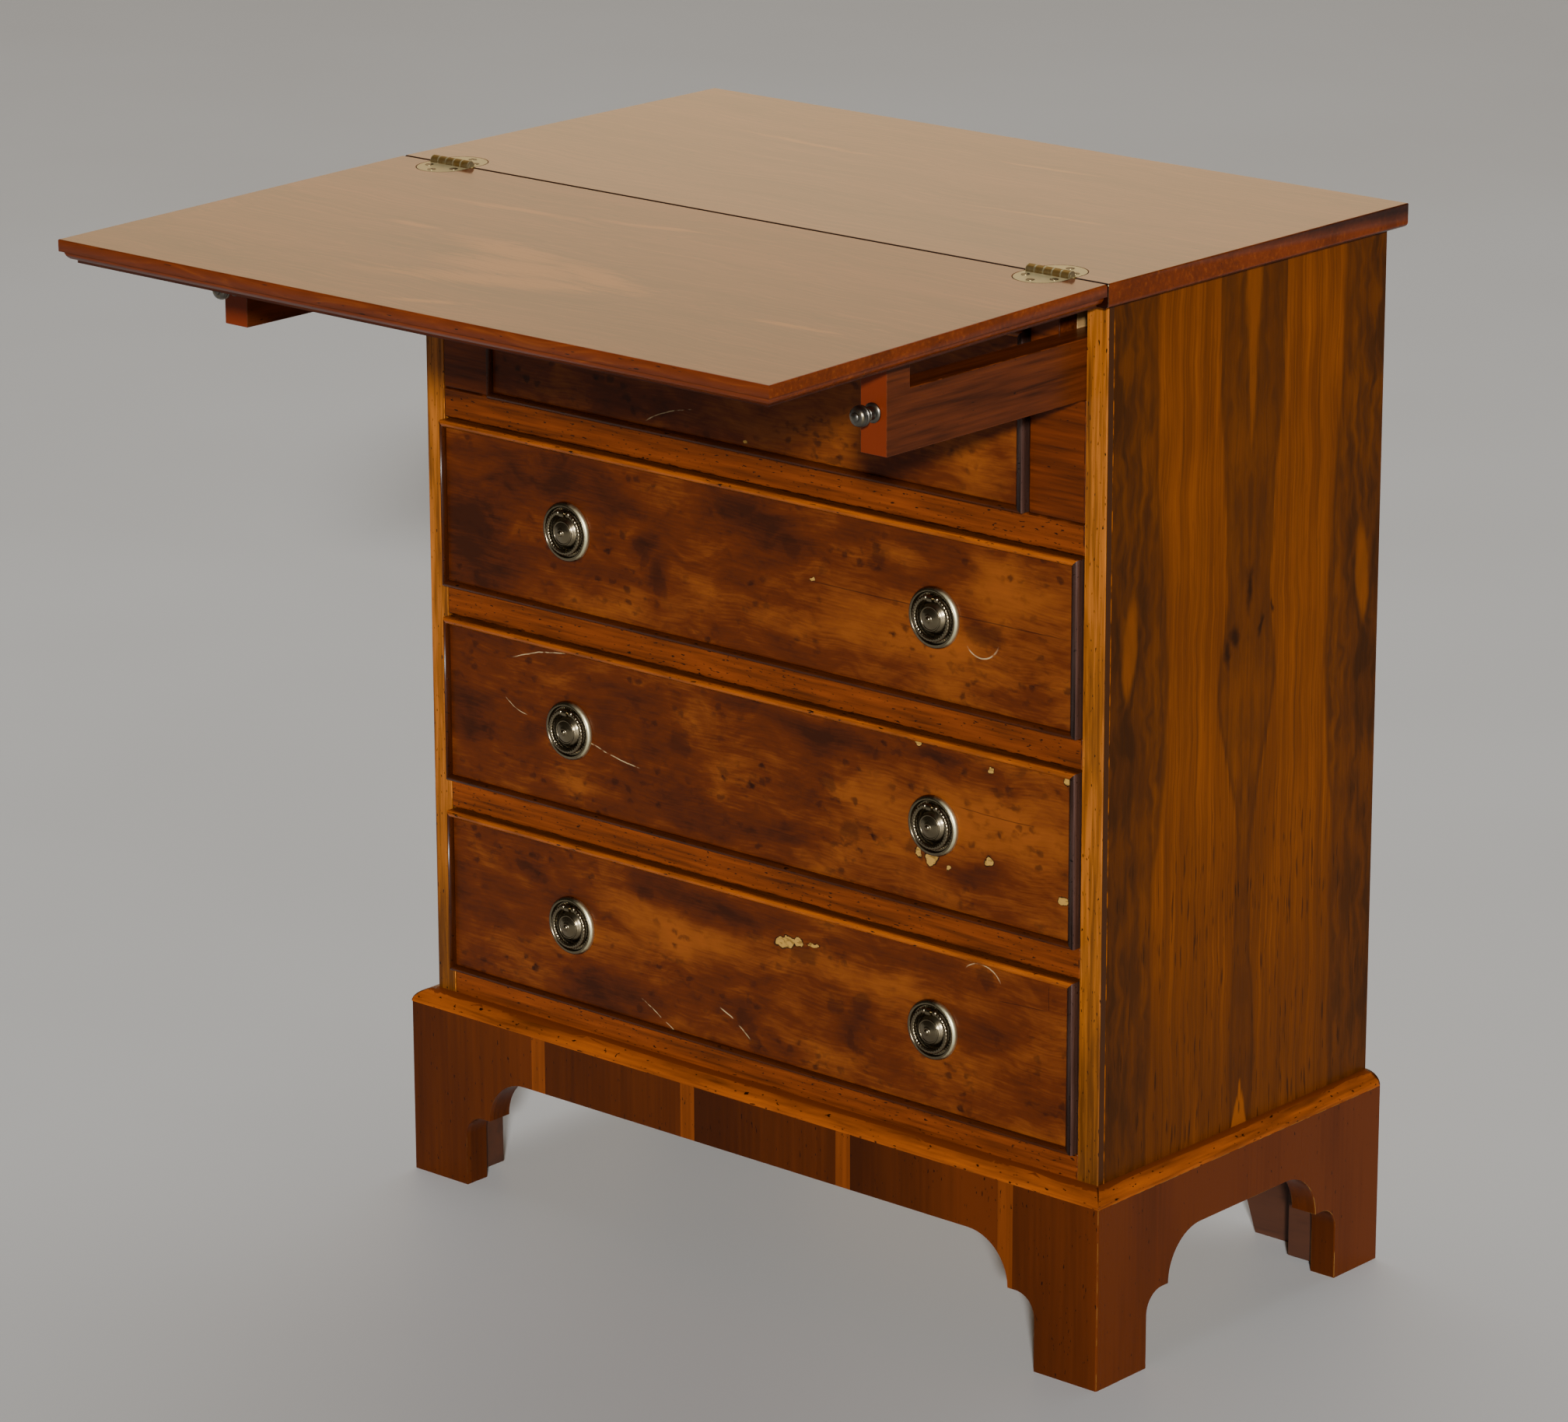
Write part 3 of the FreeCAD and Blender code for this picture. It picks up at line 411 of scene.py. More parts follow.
def burr_yew(row):
    """Burr yew veneer, polished: red-brown with amber clouds, fibres across and dark pips in clusters."""
    # To the eye: figure that lies deep under a smooth, softly glossy polish, broken by pale chips and
    # scratches. Yew's fibres are too fine to show, so they are drawn 1.3 mm apart.
    colours = bpy.context.scene.chest_colours
    made, tree, shader = surface("burr_yew_%d" % row, {"Specular IOR Level": 0.12})
    # Other wood on each drawer
    seed = 11.3 * row
    place = millimetres(tree, (0, 0, -drawer_floor(row)))
    across = add(tree, "ShaderNodeSeparateXYZ", {0: place}).outputs[0]
    flow = swirled(tree, place, 70, 34, seed)
    clouds = grain(tree, flow, (100, 100, 40), seed, 2.0, 0.45)
    feathers = grain(tree, swirled(tree, place, 40, 34, seed), (36, 36, 12), seed + 3, 6.0, 0.6)
    fibres = grain(tree, swirled(tree, place, 90, 16, seed), (44, 1.3, 1.3), seed, 2.0)
    dark = marks(tree, flow, "xz", DARK_CLOUDS[row])
    light = marks(tree, flow, "xz", LIGHT_CLOUDS[row])
    # The across term lightens each front towards the right: a painted light falloff, brighter nearer the
    # light
    depth = summed(tree, (clouds, 0.42), (feathers, 0.36), (fibres, 0.18), (light, 0.13), (dark, -0.14),
                   (across, 0.00018))
    tone = add(tree, "ShaderNodeValToRGB", {"Fac": depth}, [
        (0.28, colours.burr_dark), (0.74, toned(colours.burr_light, 1.2)), (0.47, colours.burr_ground),
        (0.62, colours.burr_light)]).outputs[0]
    clusters = stepped(tree, grain(tree, place, (60, 60, 40), seed + 4), 0.38, 0.58)
    curled = swirled(tree, place, 6, 7, seed)
    wisps = stepped(tree, grain(tree, curled, (14, 14, 6), seed + 9, 2.0), 0.54, 0.74)
    cells = add(tree, "ShaderNodeMapping", {"Vector": curled, "Scale": (1 / 15, 1 / 15, 1 / 11)}).outputs[0]
    near = add(tree, "ShaderNodeTexVoronoi", {"Vector": cells, "Scale": 1.0}).outputs["Distance"]
    pips = summed(tree, (wisps, 0.7), (stepped(tree, near, 0.3, 0.12), 0.9))
    spotted = summed(tree, (clusters, pips))
    bruised = marks(tree, swirled(tree, place, 8, 16, seed, 5.0), "xz", BRUISES[row])
    bruised = summed(tree, (stepped(tree, bruised, 0.05, 0.5), 0.65))
    eyes = add(tree, "ShaderNodeMath", {0: spotted, 1: bruised}, operation="MAXIMUM").outputs[0]
    tone = mixed(tree, eyes, tone, toned(colours.burr_dark, 0.7), 0.72)
    if row in SEAMS:
        seam = scratched(tree, swirled(tree, place, 30, 1.5, seed), SEAMS[row])
        tone = mixed(tree, seam, tone, colours.soot, 0.6)
    ragged = swirled(tree, place, 4, 5, seed, 3.0)
    chipped = marks(tree, ragged, "xz", CHIPS[row])
    bared = stepped(tree, chipped, 0.2, 0.28)
    tone = mixed(tree, stepped(tree, chipped, 0.0, 0.2), tone, colours.soot)
    splinters = stepped(tree, grain(tree, place, (5, 2, 2), seed), 0.5, 0.62)
    tone = mixed(tree, bared, tone, mixed(tree, splinters, colours.chip, toned(colours.chip, 0.5)))
    scored = scratched(tree, swirled(tree, place, 12, 2.0, seed), SCRATCHES[row])
    broken = stepped(tree, grain(tree, place, (7, 7, 7), seed + 2, 2.0), 0.34, 0.56)
    scored = summed(tree, (scored, broken))
    tone = mixed(tree, scored, tone, colours.scratch, 0.75)
    tone = arris_wear_and_shade(tree, place, tone, colours.burr_light)
    height = summed(tree, (fibres, 0.12), (feathers, 0.1), (bared, -0.6), (scored, -0.3))
    polish(tree, shader, tone, height, 0.2, 0.24, 0.36)
    return made


def yew_side(name):
    """Yew veneer book-matched about an upright line: dark heart, ochre sapwood and flames, silky polish."""
    # To the eye: two mirrored halves, dark and ochre, that glow more than they shine. The lines are drawn
    # 1.7 mm apart, coarser than real grain, so that they show.
    colours = bpy.context.scene.chest_colours
    made, tree, shader = surface(name, {"Specular IOR Level": 0.07})
    match_line = 161.0
    place = millimetres(tree, (0, -match_line, 0))
    axes = add(tree, "ShaderNodeSeparateXYZ", {0: place})
    height = axes.outputs[2]
    half = add(tree, "ShaderNodeMath", {0: axes.outputs[1]}, operation="ABSOLUTE").outputs[0]
    book = add(tree, "ShaderNodeCombineXYZ", {0: axes.outputs[0], 1: half, 2: height}).outputs[0]
    wavy = swirled(tree, book, 60, 9)
    lines = grain(tree, wavy, (4, 1.7, 150), 5.0, 3.0)
    broad = grain(tree, wavy, (50, 9, 240), 7.0, 3.0)
    cloud = grain(tree, place, (60, 40, 110), 9.0, 3.0)
    mottles = stepped(tree, grain(tree, swirled(tree, book, 26, 16), (30, 8, 42), 6.0, 4.0), 0.34, 0.66)
    across = summed(tree, (half, 1.0), (grain(tree, place, (40, 14, 70), 2.0, 4.0), 14.0), (lines, 5.0))
    sap = widths(tree, height, [(127, 112), (250, 109), (330, 110), (356, 104), (400, 99), (470, 97),
                                (540, 101), (620, 108), (724, 110)])
    heart = widths(tree, height, [(127, 19), (200, 21), (300, 16), (345, 17), (390, 27), (440, 39), (475, 35),
                                  (500, 31), (530, 33), (600, 37), (724, 42)])
    flame = widths(tree, height, [(127, 0), (505, 0), (520, 6), (600, 10), (683, 15), (724, 18)])
    tongue = widths(tree, height, [(127, 18), (138, 17.5), (168, 8), (190, 0)])
    shade = summed(tree, (lines, 0.32), (broad, 0.34), (cloud, 0.22), (stepped(tree, height, 150, 450), 0.1))
    tone = add(tree, "ShaderNodeValToRGB", {"Fac": shade}, [
        (0.3, toned(colours.side_ground, 0.55)), (0.74, toned(colours.side_light, 0.95)),
        (0.5, colours.side_ground)]).outputs[0]
    streaks = stepped(tree, grain(tree, wavy, (20, 3.4, 300), 3.0, 2.0), 0.56, 0.68)
    tone = mixed(tree, streaks, tone, colours.side_dark, 0.3)
    past_sap = summed(tree, (across, 1.0), (sap, -1.0))
    far_out = stepped(tree, past_sap, 5, 45)
    outer = summed(tree, (mottles, 0.5), (lines, 0.4), (broad, 0.2), (far_out, 0.2))
    tone = mixed(tree, stepped(tree, past_sap, -3, 4), tone, toned(colours.side_dark, 0.88), outer)
    past_heart = summed(tree, (across, -1.0), (heart, 1.0))
    upper = stepped(tree, height, 400, 560)
    hearty = summed(tree, (upper, 0.2), (lines, 0.5), (mottles, 0.3))
    tone = mixed(tree, stepped(tree, past_heart, -3, 4), tone, toned(colours.side_dark, 0.9), hearty)
    for zone, amount in ((past_sap, 0.4), (past_heart, 0.45)):
        from_rim = add(tree, "ShaderNodeMath", {0: zone}, operation="ABSOLUTE").outputs[0]
        tone = mixed(tree, stepped(tree, from_rim, 4, 0), tone, toned(colours.side_dark, 0.6), amount)
    inside = stepped(tree, summed(tree, (across, -1.0), (flame, 1.0)), -1, 4)
    tone = mixed(tree, inside, tone, toned(colours.side_light, 0.9), 0.5)
    inside = stepped(tree, summed(tree, (across, -1.0), (tongue, 1.0)), -1, 2)
    tone = mixed(tree, inside, tone, colours.side_light, 0.8)
    shades = marks(tree, swirled(tree, book, 30, 12), "yz", [
        (128, 425, 24, 52, 0), (140, 500, 10, 70, 0), (112, 540, 8, 90, 4)])
    tone = mixed(tree, stepped(tree, shades, 0.0, 0.8), tone, toned(colours.side_dark, 0.55), 0.38)
    flames = marks(tree, swirled(tree, book, 30, 8), "yz", [(125, 493, 9, 42, 4)])
    tone = mixed(tree, stepped(tree, flames, 0.05, 0.5), tone, colours.side_light, 0.45)
    knots = marks(tree, swirled(tree, place, 12, 12), "yz", [
        (0, 507, 5, 22, 0), (-14, 478, 8, 11, 0), (-22, 468, 6, 14, 0), (13, 482, 4, 12, 0),
        (26, 491, 3, 7, 0)])
    tone = mixed(tree, stepped(tree, knots, 0.0, 0.9), tone, toned(colours.side_dark, 0.3), 0.85)
    dashes = stepped(tree, grain(tree, book, (2.4, 2.4, 22), 7.7, 1.0), 0.64, 0.74)
    low_down = stepped(tree, height, 390, 330)
    dashed = summed(tree, (low_down, 0.5), (dashes, 0.15))
    tone = mixed(tree, dashes, tone, toned(colours.side_dark, 0.35), dashed)
    tone = arris_wear_and_shade(tree, place, tone, colours.side_light)
    polish(tree, shader, tone, summed(tree, (lines, 0.6), (broad, 0.4)), 0.12, 0.26, 0.36)
    return made


def yew_top(name):
    """Straight yew veneer with sapwood flames, its flat faces under a thick glossy polish."""
    # To the eye: a clear mirror over brown wood, which hides most of the figure when seen from low down. The
    # lines are drawn 2.6 mm apart, coarser than real grain, so that they show.
    colours = bpy.context.scene.chest_colours
    made, tree, shader = surface(name, {"Coat Roughness": 0.1, "Specular IOR Level": 0.15})
    flat = add(tree, "ShaderNodeAttribute", attribute_name="flat").outputs["Fac"]
    tree.links.new(flat, shader.inputs["Coat Weight"])
    place = millimetres(tree)
    eddies = swirled(tree, place, 160, 40)
    broad = grain(tree, eddies, (260, 36, 36), 1.0, 3.0)
    lines = grain(tree, eddies, (190, 2.6, 2.6), 2.0, 3.0)
    shade = summed(tree, (broad, 0.6), (lines, 0.4))
    tone = add(tree, "ShaderNodeValToRGB", {"Fac": shade}, [
        (0.3, toned(colours.top_ground, 0.6)), (0.65, toned(colours.top_ground, 1.3))]).outputs[0]
    sap = marks(tree, swirled(tree, place, 40, 9), "xy", [
        (0, -224, 120, 22, 16), (-51, -163, 84, 22, -8), (40, -180, 80, 20, -17), (-16, -194, 84, 30, 4),
        (-130, -74, 84, 7, 3), (-20, -55, 62, 6, 10), (-154, -145, 30, 6, 0), (221, -202, 46, 5, 4),
        (0, -292, 40, 6, 20), (150, 130, 80, 4, 6), (-120, 210, 90, 5, -4), (60, 250, 60, 4, 3)])
    flames = stepped(tree, summed(tree, (sap, 1.0), (lines, 1.1)), 0.55, 1.35)
    tone = mixed(tree, flames, tone, colours.top_sap, 0.7)
    tone = flecked(tree, place, tone, (9, 1.4, 1.4), colours.soot, 0.72)
    # Painted shade: the softened edges and joint faces along the hinge line are drawn near black, for the
    # shadow in the joint
    tone = arris_wear_and_shade(tree, place, tone, toned(colours.top_ground, 0.1), 0.0, 0.1)
    # A pale strip in the scratch colour on the fixed top's right corner at the hinge line
    knocked = add(tree, "ShaderNodeAttribute", attribute_name="knocked").outputs["Fac"]
    tone = mixed(tree, knocked, tone, colours.scratch)
    polish(tree, shader, tone, shade, 0.05, 0.28, 0.36)
    return made


def straight_yew(name, ground, axes, arris_level, end, grime=0.0, specks=0.67):
    """Straight-grained yew strip, polished and much used: streaks, dents, arrises lighter where bared, darker
    with dirt and painted shade where they meet gaps, low grime.
    """
    # To the eye: plain streaked wood with a low sheen and the wear of long use. The lines are drawn 2.2 mm
    # apart, coarser than real grain, so that they show.
    colours = bpy.context.scene.chest_colours
    ground = getattr(colours, ground)
    made, tree, shader = surface(name, {"Specular IOR Level": 0.15})
    place = millimetres(tree)
    fine, broad, speck = [2.2] * 3, [9.0] * 3, [1.6] * 3
    for axis in axes:
        fine[axis], broad[axis], speck[axis] = 55.0, 80.0, 5.0
    lines = grain(tree, place, fine, 2.0, 3.0)
    shade = summed(tree, (lines, 0.6), (grain(tree, place, broad, 5.0, 4.0), 0.5))
    tone = add(tree, "ShaderNodeValToRGB", {"Fac": shade}, [
        (0.36, toned(ground, 0.42)), (0.76, toned(ground, 1.55)), (0.55, ground)]).outputs[0]
    if grime:
        height = add(tree, "ShaderNodeSeparateXYZ", {0: place}).outputs[2]
        dirty = summed(tree, (stepped(tree, height, 340, 140), grime),
                       (stepped(tree, lines, 0.6, 0.4), grime / 3))
        tone = mixed(tree, dirty, tone, toned(ground, 0.25))
    tone = flecked(tree, place, tone, speck, colours.soot, specks)
    tone = arris_wear_and_shade(tree, place, tone, toned(ground, arris_level))
    at_end = add(tree, "ShaderNodeAttribute", attribute_name="end").outputs["Fac"]
    tone = mixed(tree, summed(tree, (at_end, 0.6), (shade, at_end)), tone, getattr(colours, end))
    polish(tree, shader, tone, shade, 0.15, 0.3, 0.42)
    return made


def yew_plinth(name):
    """Yew veneer laid upright round the plinth, dark red-brown between light stripes let into its front."""
    # To the eye: dark, calm panels set off by narrow amber stripes, under an even polish. The lines are drawn
    # 3 mm apart, coarser than real grain, so that they show.
    colours = bpy.context.scene.chest_colours
    made, tree, shader = surface(name, {"Specular IOR Level": 0.1})
    place = millimetres(tree)
    axes = add(tree, "ShaderNodeSeparateXYZ", {0: place})
    lines = grain(tree, place, (3, 3, 90), 4.0, 3.0)
    broad = grain(tree, place, (50, 50, 300), 6.0, 3.0)
    first_stripe, pitch, stripe = -194.9, 141.05, 12.8
    front_face = -1.0
    shifted = add(tree, "ShaderNodeMath", {0: axes.outputs[0], 1: -first_stripe}, operation="ADD").outputs[0]
    along = add(tree, "ShaderNodeMath", {0: shifted, 1: pitch}, operation="FLOORED_MODULO").outputs[0]
    in_front, striped = [
        add(tree, "ShaderNodeMath", {0: value, 1: limit}, operation="LESS_THAN").outputs[0]
        for value, limit in ((axes.outputs[1], front_face), (along, stripe))]
    rise = summed(tree, (along, in_front))
    out = add(tree, "ShaderNodeMath", {0: axes.outputs[0]}, operation="ABSOLUTE").outputs[0]
    # Painted light: the plinth's side faces are drawn lighter than its front, for the light falling on them
    beside = stepped(tree, out, PLINTH_HIGH.x / MM - 1, PLINTH_HIGH.x / MM - 0.5)
    middle = summed(tree, (stepped(tree, out, 210, 90), in_front))
    shade = summed(tree, (lines, 0.3), (broad, 0.6), (rise, 0.0018), (beside, 0.28), (middle, -0.16))
    tone = add(tree, "ShaderNodeValToRGB", {"Fac": shade}, [
        (0.3, toned(colours.plinth, 0.6)), (0.75, toned(colours.plinth, 1.6)),
        (0.5, colours.plinth)]).outputs[0]
    light = mixed(tree, stepped(tree, lines, 0.7, 0.3), colours.stripe, toned(colours.stripe, 0.75))
    tone = mixed(tree, striped, tone, light, in_front)
    tone = flecked(tree, place, tone, (1.6, 1.6, 5), colours.soot, 0.71)
    tone = arris_wear_and_shade(tree, place, tone, toned(colours.chip, 0.6), 0.46, 0.56)
    polish(tree, shader, tone, shade, 0.12, 0.26, 0.36)
    return made


def bead_wood(name):
    """Thin beading, polished: one wood painted lit orange along the tops and in shade, purple-brown, beside
    and below.
    """
    # To the eye: thin lines, bright above and dark beside, that frame each drawer and catch the light.
    colours = bpy.context.scene.chest_colours
    made, tree, shader = surface(name, {"Specular IOR Level": 0.25})
    place = millimetres(tree)
    depth = add(tree, "ShaderNodeSeparateXYZ", {0: place}).outputs[1]
    lines = grain(tree, place, (40, 1.2, 40), 2.0)
    # Painted light and shade for each bead strip: 0 for the lit upper bead, 1 for the shaded right one
    stain = add(tree, "ShaderNodeAttribute", attribute_name="stain").outputs["Fac"]
    patchy = summed(tree, (stain, 0.9), (grain(tree, place, (30, 5, 30), 8.0), 0.2))
    tone = add(tree, "ShaderNodeValToRGB", {"Fac": patchy}, [
        (0.15, colours.bead_light), (0.95, colours.bead_dark), (0.5, toned(colours.rail, 0.4)),
        (0.7, toned(colours.rail, 0.3))]).outputs[0]
    tone = mixed(tree, stepped(tree, lines, 0.6, 0.35), tone, colours.soot, 0.4)
    # Painted shade: the bead's flank, set back behind the field's face, darkened with the soot colour
    sunk = stepped(tree, depth, FIELD_Y - 1.5, FIELD_Y + 1)
    tone = mixed(tree, sunk, tone, colours.soot, 0.6)
    tone = flecked(tree, place, tone, (6, 1.5, 1.5), colours.soot, 0.68)
    polish(tree, shader, tone, lines, 0.1, 0.22, 0.34)
    return made


def bare_pine(name, ground, axis):
    """Planed pine, bare or stained: matt, with darker growth rings along one axis."""
    # To the eye: pale, dry and dull beside the polished yew. The fibres are drawn 1.2 mm apart, coarser than
    # real ones, so that they show.
    ground = getattr(bpy.context.scene.chest_colours, ground)
    ring, fibre, patch = [7.0] * 3, [1.2] * 3, [90.0] * 3
    ring[axis], fibre[axis], patch[axis] = 420.0, 60.0, 300.0
    made, tree, shader = surface(name)
    place = swirled(tree, millimetres(tree), 260, 40)
    rings = grain(tree, place, ring, 3.0, 2.0)
    fine = grain(tree, place, fibre, 5.0)
    cloud = grain(tree, place, patch, 9.0)
    shade = summed(tree, (rings, 0.6), (fine, 0.25), (cloud, 0.3))
    tone = add(tree, "ShaderNodeValToRGB", {"Fac": shade}, [
        (0.42, toned(ground, 1.1)), (0.74, toned(ground, 0.6)), (0.58, toned(ground, 0.92))]).outputs[0]
    polish(tree, shader, tone, shade, 0.15, 0.55, 0.75)
    return made


def aged_brass(name):
    """Cast brass under brown-black patina, made bright by rubbing and by a painted highlight where the
    attribute says.
    """
    # To the eye: dark, glinting metal, bright where hands and cloths have polished it and brighter still on
    # the right, a painted highlight.
    colours = bpy.context.scene.chest_colours
    made, tree, shader = surface(name, {"Metallic": 1.0})
    place = millimetres(tree)
    rub = add(tree, "ShaderNodeAttribute", attribute_name="rub").outputs["Fac"]
    cloud = grain(tree, place, (3, 3, 3), 1.0, 4.0)
    skin = stepped(tree, summed(tree, (rub, 0.8), (cloud, 0.5)), 0.95, 0.45)
    tone = mixed(tree, skin, colours.rubbed_brass, colours.patina)
    polish(tree, shader, tone, summed(tree, (cloud, 0.3), (skin, 0.7)), 0.3, 0.22, 0.46)
    return made


def hinge_brass(name):
    """Rolled brass plate, polished with the top and tarnished round the knuckles, with painted shade round
    its edges.
    """
    # To the eye: pale gold plates let into the top, with browner knuckles and a dark line round them.
    colours = bpy.context.scene.chest_colours
    made, tree, shader = surface(name, {"Metallic": 1.0})
    place = millimetres(tree)
    axes = add(tree, "ShaderNodeSeparateXYZ", {0: place})
    from_axis = add(tree, "ShaderNodeMath", {0: axes.outputs[1]}, operation="ABSOLUTE").outputs[0]
    cloud = grain(tree, place, (6, 6, 6), 1.0, 3.0)
    outward = summed(tree, (from_axis, 1.0), (cloud, 3.0))
    tarnish = stepped(tree, outward, 7.0, 4.0)
    plain = stepped(tree, outward, 4.0, 7.0)
    tone = mixed(tree, tarnish, colours.hinge_brass, colours.hinge_tarnish)
    from_end = add(tree, "ShaderNodeMath", {0: axes.outputs[0]}, operation="ABSOLUTE").outputs[0]
    from_end = summed(tree, (from_end, 1.0), ((HINGE_MIDDLE - BARREL / 2) / MM, -1.0))
    knuckles = 5
    half_knuckle = BARREL / MM / (2 * knuckles)
    along = add(tree, "ShaderNodeMath", {0: from_end, 1: half_knuckle}, operation="PINGPONG").outputs[0]
    joint = summed(tree, (stepped(tree, along, 0.8, 0.3), tarnish))
    tone = mixed(tree, joint, tone, colours.rubbed_brass, 0.7)
    # Painted shade: a dark line along the plates' softened upper outline, for the shadow of their recesses
    edge = add(tree, "ShaderNodeAttribute", attribute_name="arris").outputs["Fac"]
    tone = mixed(tree, edge, tone, colours.soot)
    polish(tree, shader, tone, summed(tree, (cloud, 0.4), (plain, 0.6)), 0.03, 0.32, 0.62)
    return made


def white_metal(name):
    """Turned white metal, satin, with fine lathe lines and grime in the grooves."""
    # To the eye: small grey knobs with soft highlights. The lathe lines are drawn 0.9 mm apart, coarser than
    # real ones, so that they show.
    colours = bpy.context.scene.chest_colours
    made, tree, shader = surface(name, {"Metallic": 1.0})
    place = millimetres(tree)
    turning = grain(tree, place, (60, 0.9, 60), 1.0, 2.0)
    grime = stepped(tree, grain(tree, place, (5, 3, 5), 4.0), 0.5, 0.7)
    tone = mixed(tree, grime, colours.white_metal, colours.patina)
    polish(tree, shader, tone, turning, 0.05, 0.25, 0.4)
    return made


# Finishes: the material's name, the function that makes it and that function's settings
FINISHES = {
    "yew_side": ("book_matched_yew", yew_side),
    "yew_top": ("polished_yew", yew_top),
    # On the rails and loper surrounds the arrises are darkened: dirt, and painted shade along the gaps beside
    # the drawers and lopers
    "yew_rail": ("crossways_yew", straight_yew, "rail", (0,), 0.3, "rail", 0.0, 0.65),
    "surround": ("flat_sawn_yew", straight_yew, "surround", (0,), 0.5, "rail", 0.0, 0.72),
    "yew_lipping": ("upright_yew", straight_yew, "lipping", (2,), 2.2, "side_dark", 0.7),
    "moulding": ("moulded_yew", straight_yew, "moulding", (0, 1), 1.5, "rail"),
    "yew_plinth": ("banded_yew", yew_plinth),
    "loper_wood": ("loper_yew", straight_yew, "loper", (1,), 1.5, "end_grain", 0.0, 0.74),
    "bead_wood": ("stained_beading", bead_wood),
    "pine": ("planed_pine", bare_pine, "pine", 0),
    "deep_pine": ("planed_pine_lengthways", bare_pine, "pine", 1),
    "stained_pine": ("stained_pine", bare_pine, "stained_pine", 0),
    "aged_brass": ("patinated_cast_brass", aged_brass),
    "hinge_brass": ("rolled_brass", hinge_brass),
    "knob_metal": ("turned_white_metal", white_metal),
}


def finish(key):
    """Material of a finish, made the first time that it is asked for."""
    name, make, *settings = FINISHES[key]
    return bpy.data.materials.get(name) or make(name, *settings)


def linked(name, data):
    """New object that shows some data, put into the scene."""
    made = bpy.data.objects.new(name, data)
    bpy.context.scene.collection.objects.link(made)
    return made


def merged(node):
    """Copy of a node's loose triangles, welded and with its flat faces made whole."""
    weld, level = 0.004 * MM, math.radians(0.2)
    work = bmesh.new()
    work.from_mesh(frame["nodes"][node].data)
    bmesh.ops.remove_doubles(work, verts=work.verts, dist=weld)
    bmesh.ops.dissolve_limit(work, angle_limit=level, verts=work.verts, edges=work.edges)
    return work


def is_sharp(edge):
    """True for an edge where two faces meet in an arris."""
    return len(edge.link_faces) == 2 and edge.calc_face_angle() > ARRIS_ANGLE


def baked(piece):
    """Makes a piece the plain mesh that its modifiers give, and returns that mesh."""
    depsgraph = bpy.context.evaluated_depsgraph_get()
    result = bpy.data.meshes.new_from_object(piece.evaluated_get(depsgraph), depsgraph=depsgraph)
    piece.modifiers.clear()
    piece.data = result
    return result


def board(node, slot, arris, material=None, keep=None, shape=None):
    """Finished board in place of a node: shaped, its sharp edges softened and marked for wear and painted
    shade.
    """
    work = merged(node)
    softened = work.faces.layers.float.new("arris")
    if shape:
        shape(work, softened)
    edges = [edge for edge in work.edges if is_sharp(edge) and (keep is None or keep(edge))]
    if arris and edges:
        made = bmesh.ops.bevel(work, geom=edges, offset=arris, offset_type="OFFSET", segments=2,
                               profile=0.5, affect="EDGES", clamp_overlap=True)
        for face in made["faces"]:
            face[softened] = 1.0
    mesh = bpy.data.meshes.new(node + "_finished")
    work.to_mesh(mesh)
    work.free()
    mesh.materials.append(material or finish(slot))
    mesh.shade_smooth()
    mesh.set_sharp_from_angle(angle=BOARD_CREASE)
    piece = linked(node + "_finished", mesh)
    evened = piece.modifiers.new("even", "WEIGHTED_NORMAL")
    evened.keep_sharp = True
    evened.weight = 100
    baked(piece)
    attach(piece, frame["nodes"][node]["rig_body"])
    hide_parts(node)
    return piece


def marked(piece, name, test):
    """Face attribute that is 1 where a face's normal and centre pass a test."""
    layer = piece.data.attributes.new(name, "FLOAT", "FACE")
    for face in piece.data.polygons:
        layer.data[face.index].value = float(test(face.normal, face.center))


def grown(name, points, tree, sizes, material, body, turn=None):
    """Piece that a geometry tree grows on loose points: sizes and material go in by the inputs' names."""
    mesh = bpy.data.meshes.new(name)
    mesh.from_pydata([tuple(point) for point in points], [], [])
    piece = linked(name, mesh)
    modifier = piece.modifiers.new("grow", "NODES")
    modifier.node_group = tree
    values = {**sizes, "Material": material}
    for item in tree.interface.items_tree:
        if item.in_out == "INPUT" and item.name in values:
            modifier[item.identifier] = values[item.name]
    result = baked(piece)
    if turn is not None:
        result.transform(turn)
    result.shade_smooth()
    result.set_sharp_from_angle(angle=GROWN_CREASE)
    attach(piece, body)
    return piece


def geometry_tree(name, sizes):
    """Empty geometry tree with one float input for each size and a material input."""
    tree = bpy.data.node_groups.new(name, "GeometryNodeTree")
    tree.interface.new_socket("Points", in_out="INPUT", socket_type="NodeSocketGeometry")
    for size in sizes:
        tree.interface.new_socket(size, in_out="INPUT", socket_type="NodeSocketFloat")
    tree.interface.new_socket("Material", in_out="INPUT", socket_type="NodeSocketMaterial")
    tree.interface.new_socket("Geometry", in_out="OUTPUT", socket_type="NodeSocketGeometry")
    return tree, add(tree, "NodeGroupInput").outputs


def closed_tree(tree, instances, material):
    """Ends a tree: instances made real, given their material and handed out."""
    real = add(tree, "GeometryNodeRealizeInstances", {0: instances})
    coated = add(tree, "GeometryNodeSetMaterial", {"Geometry": real.outputs[0], "Material": material})
    add(tree, "NodeGroupOutput", {0: coated.outputs[0]})


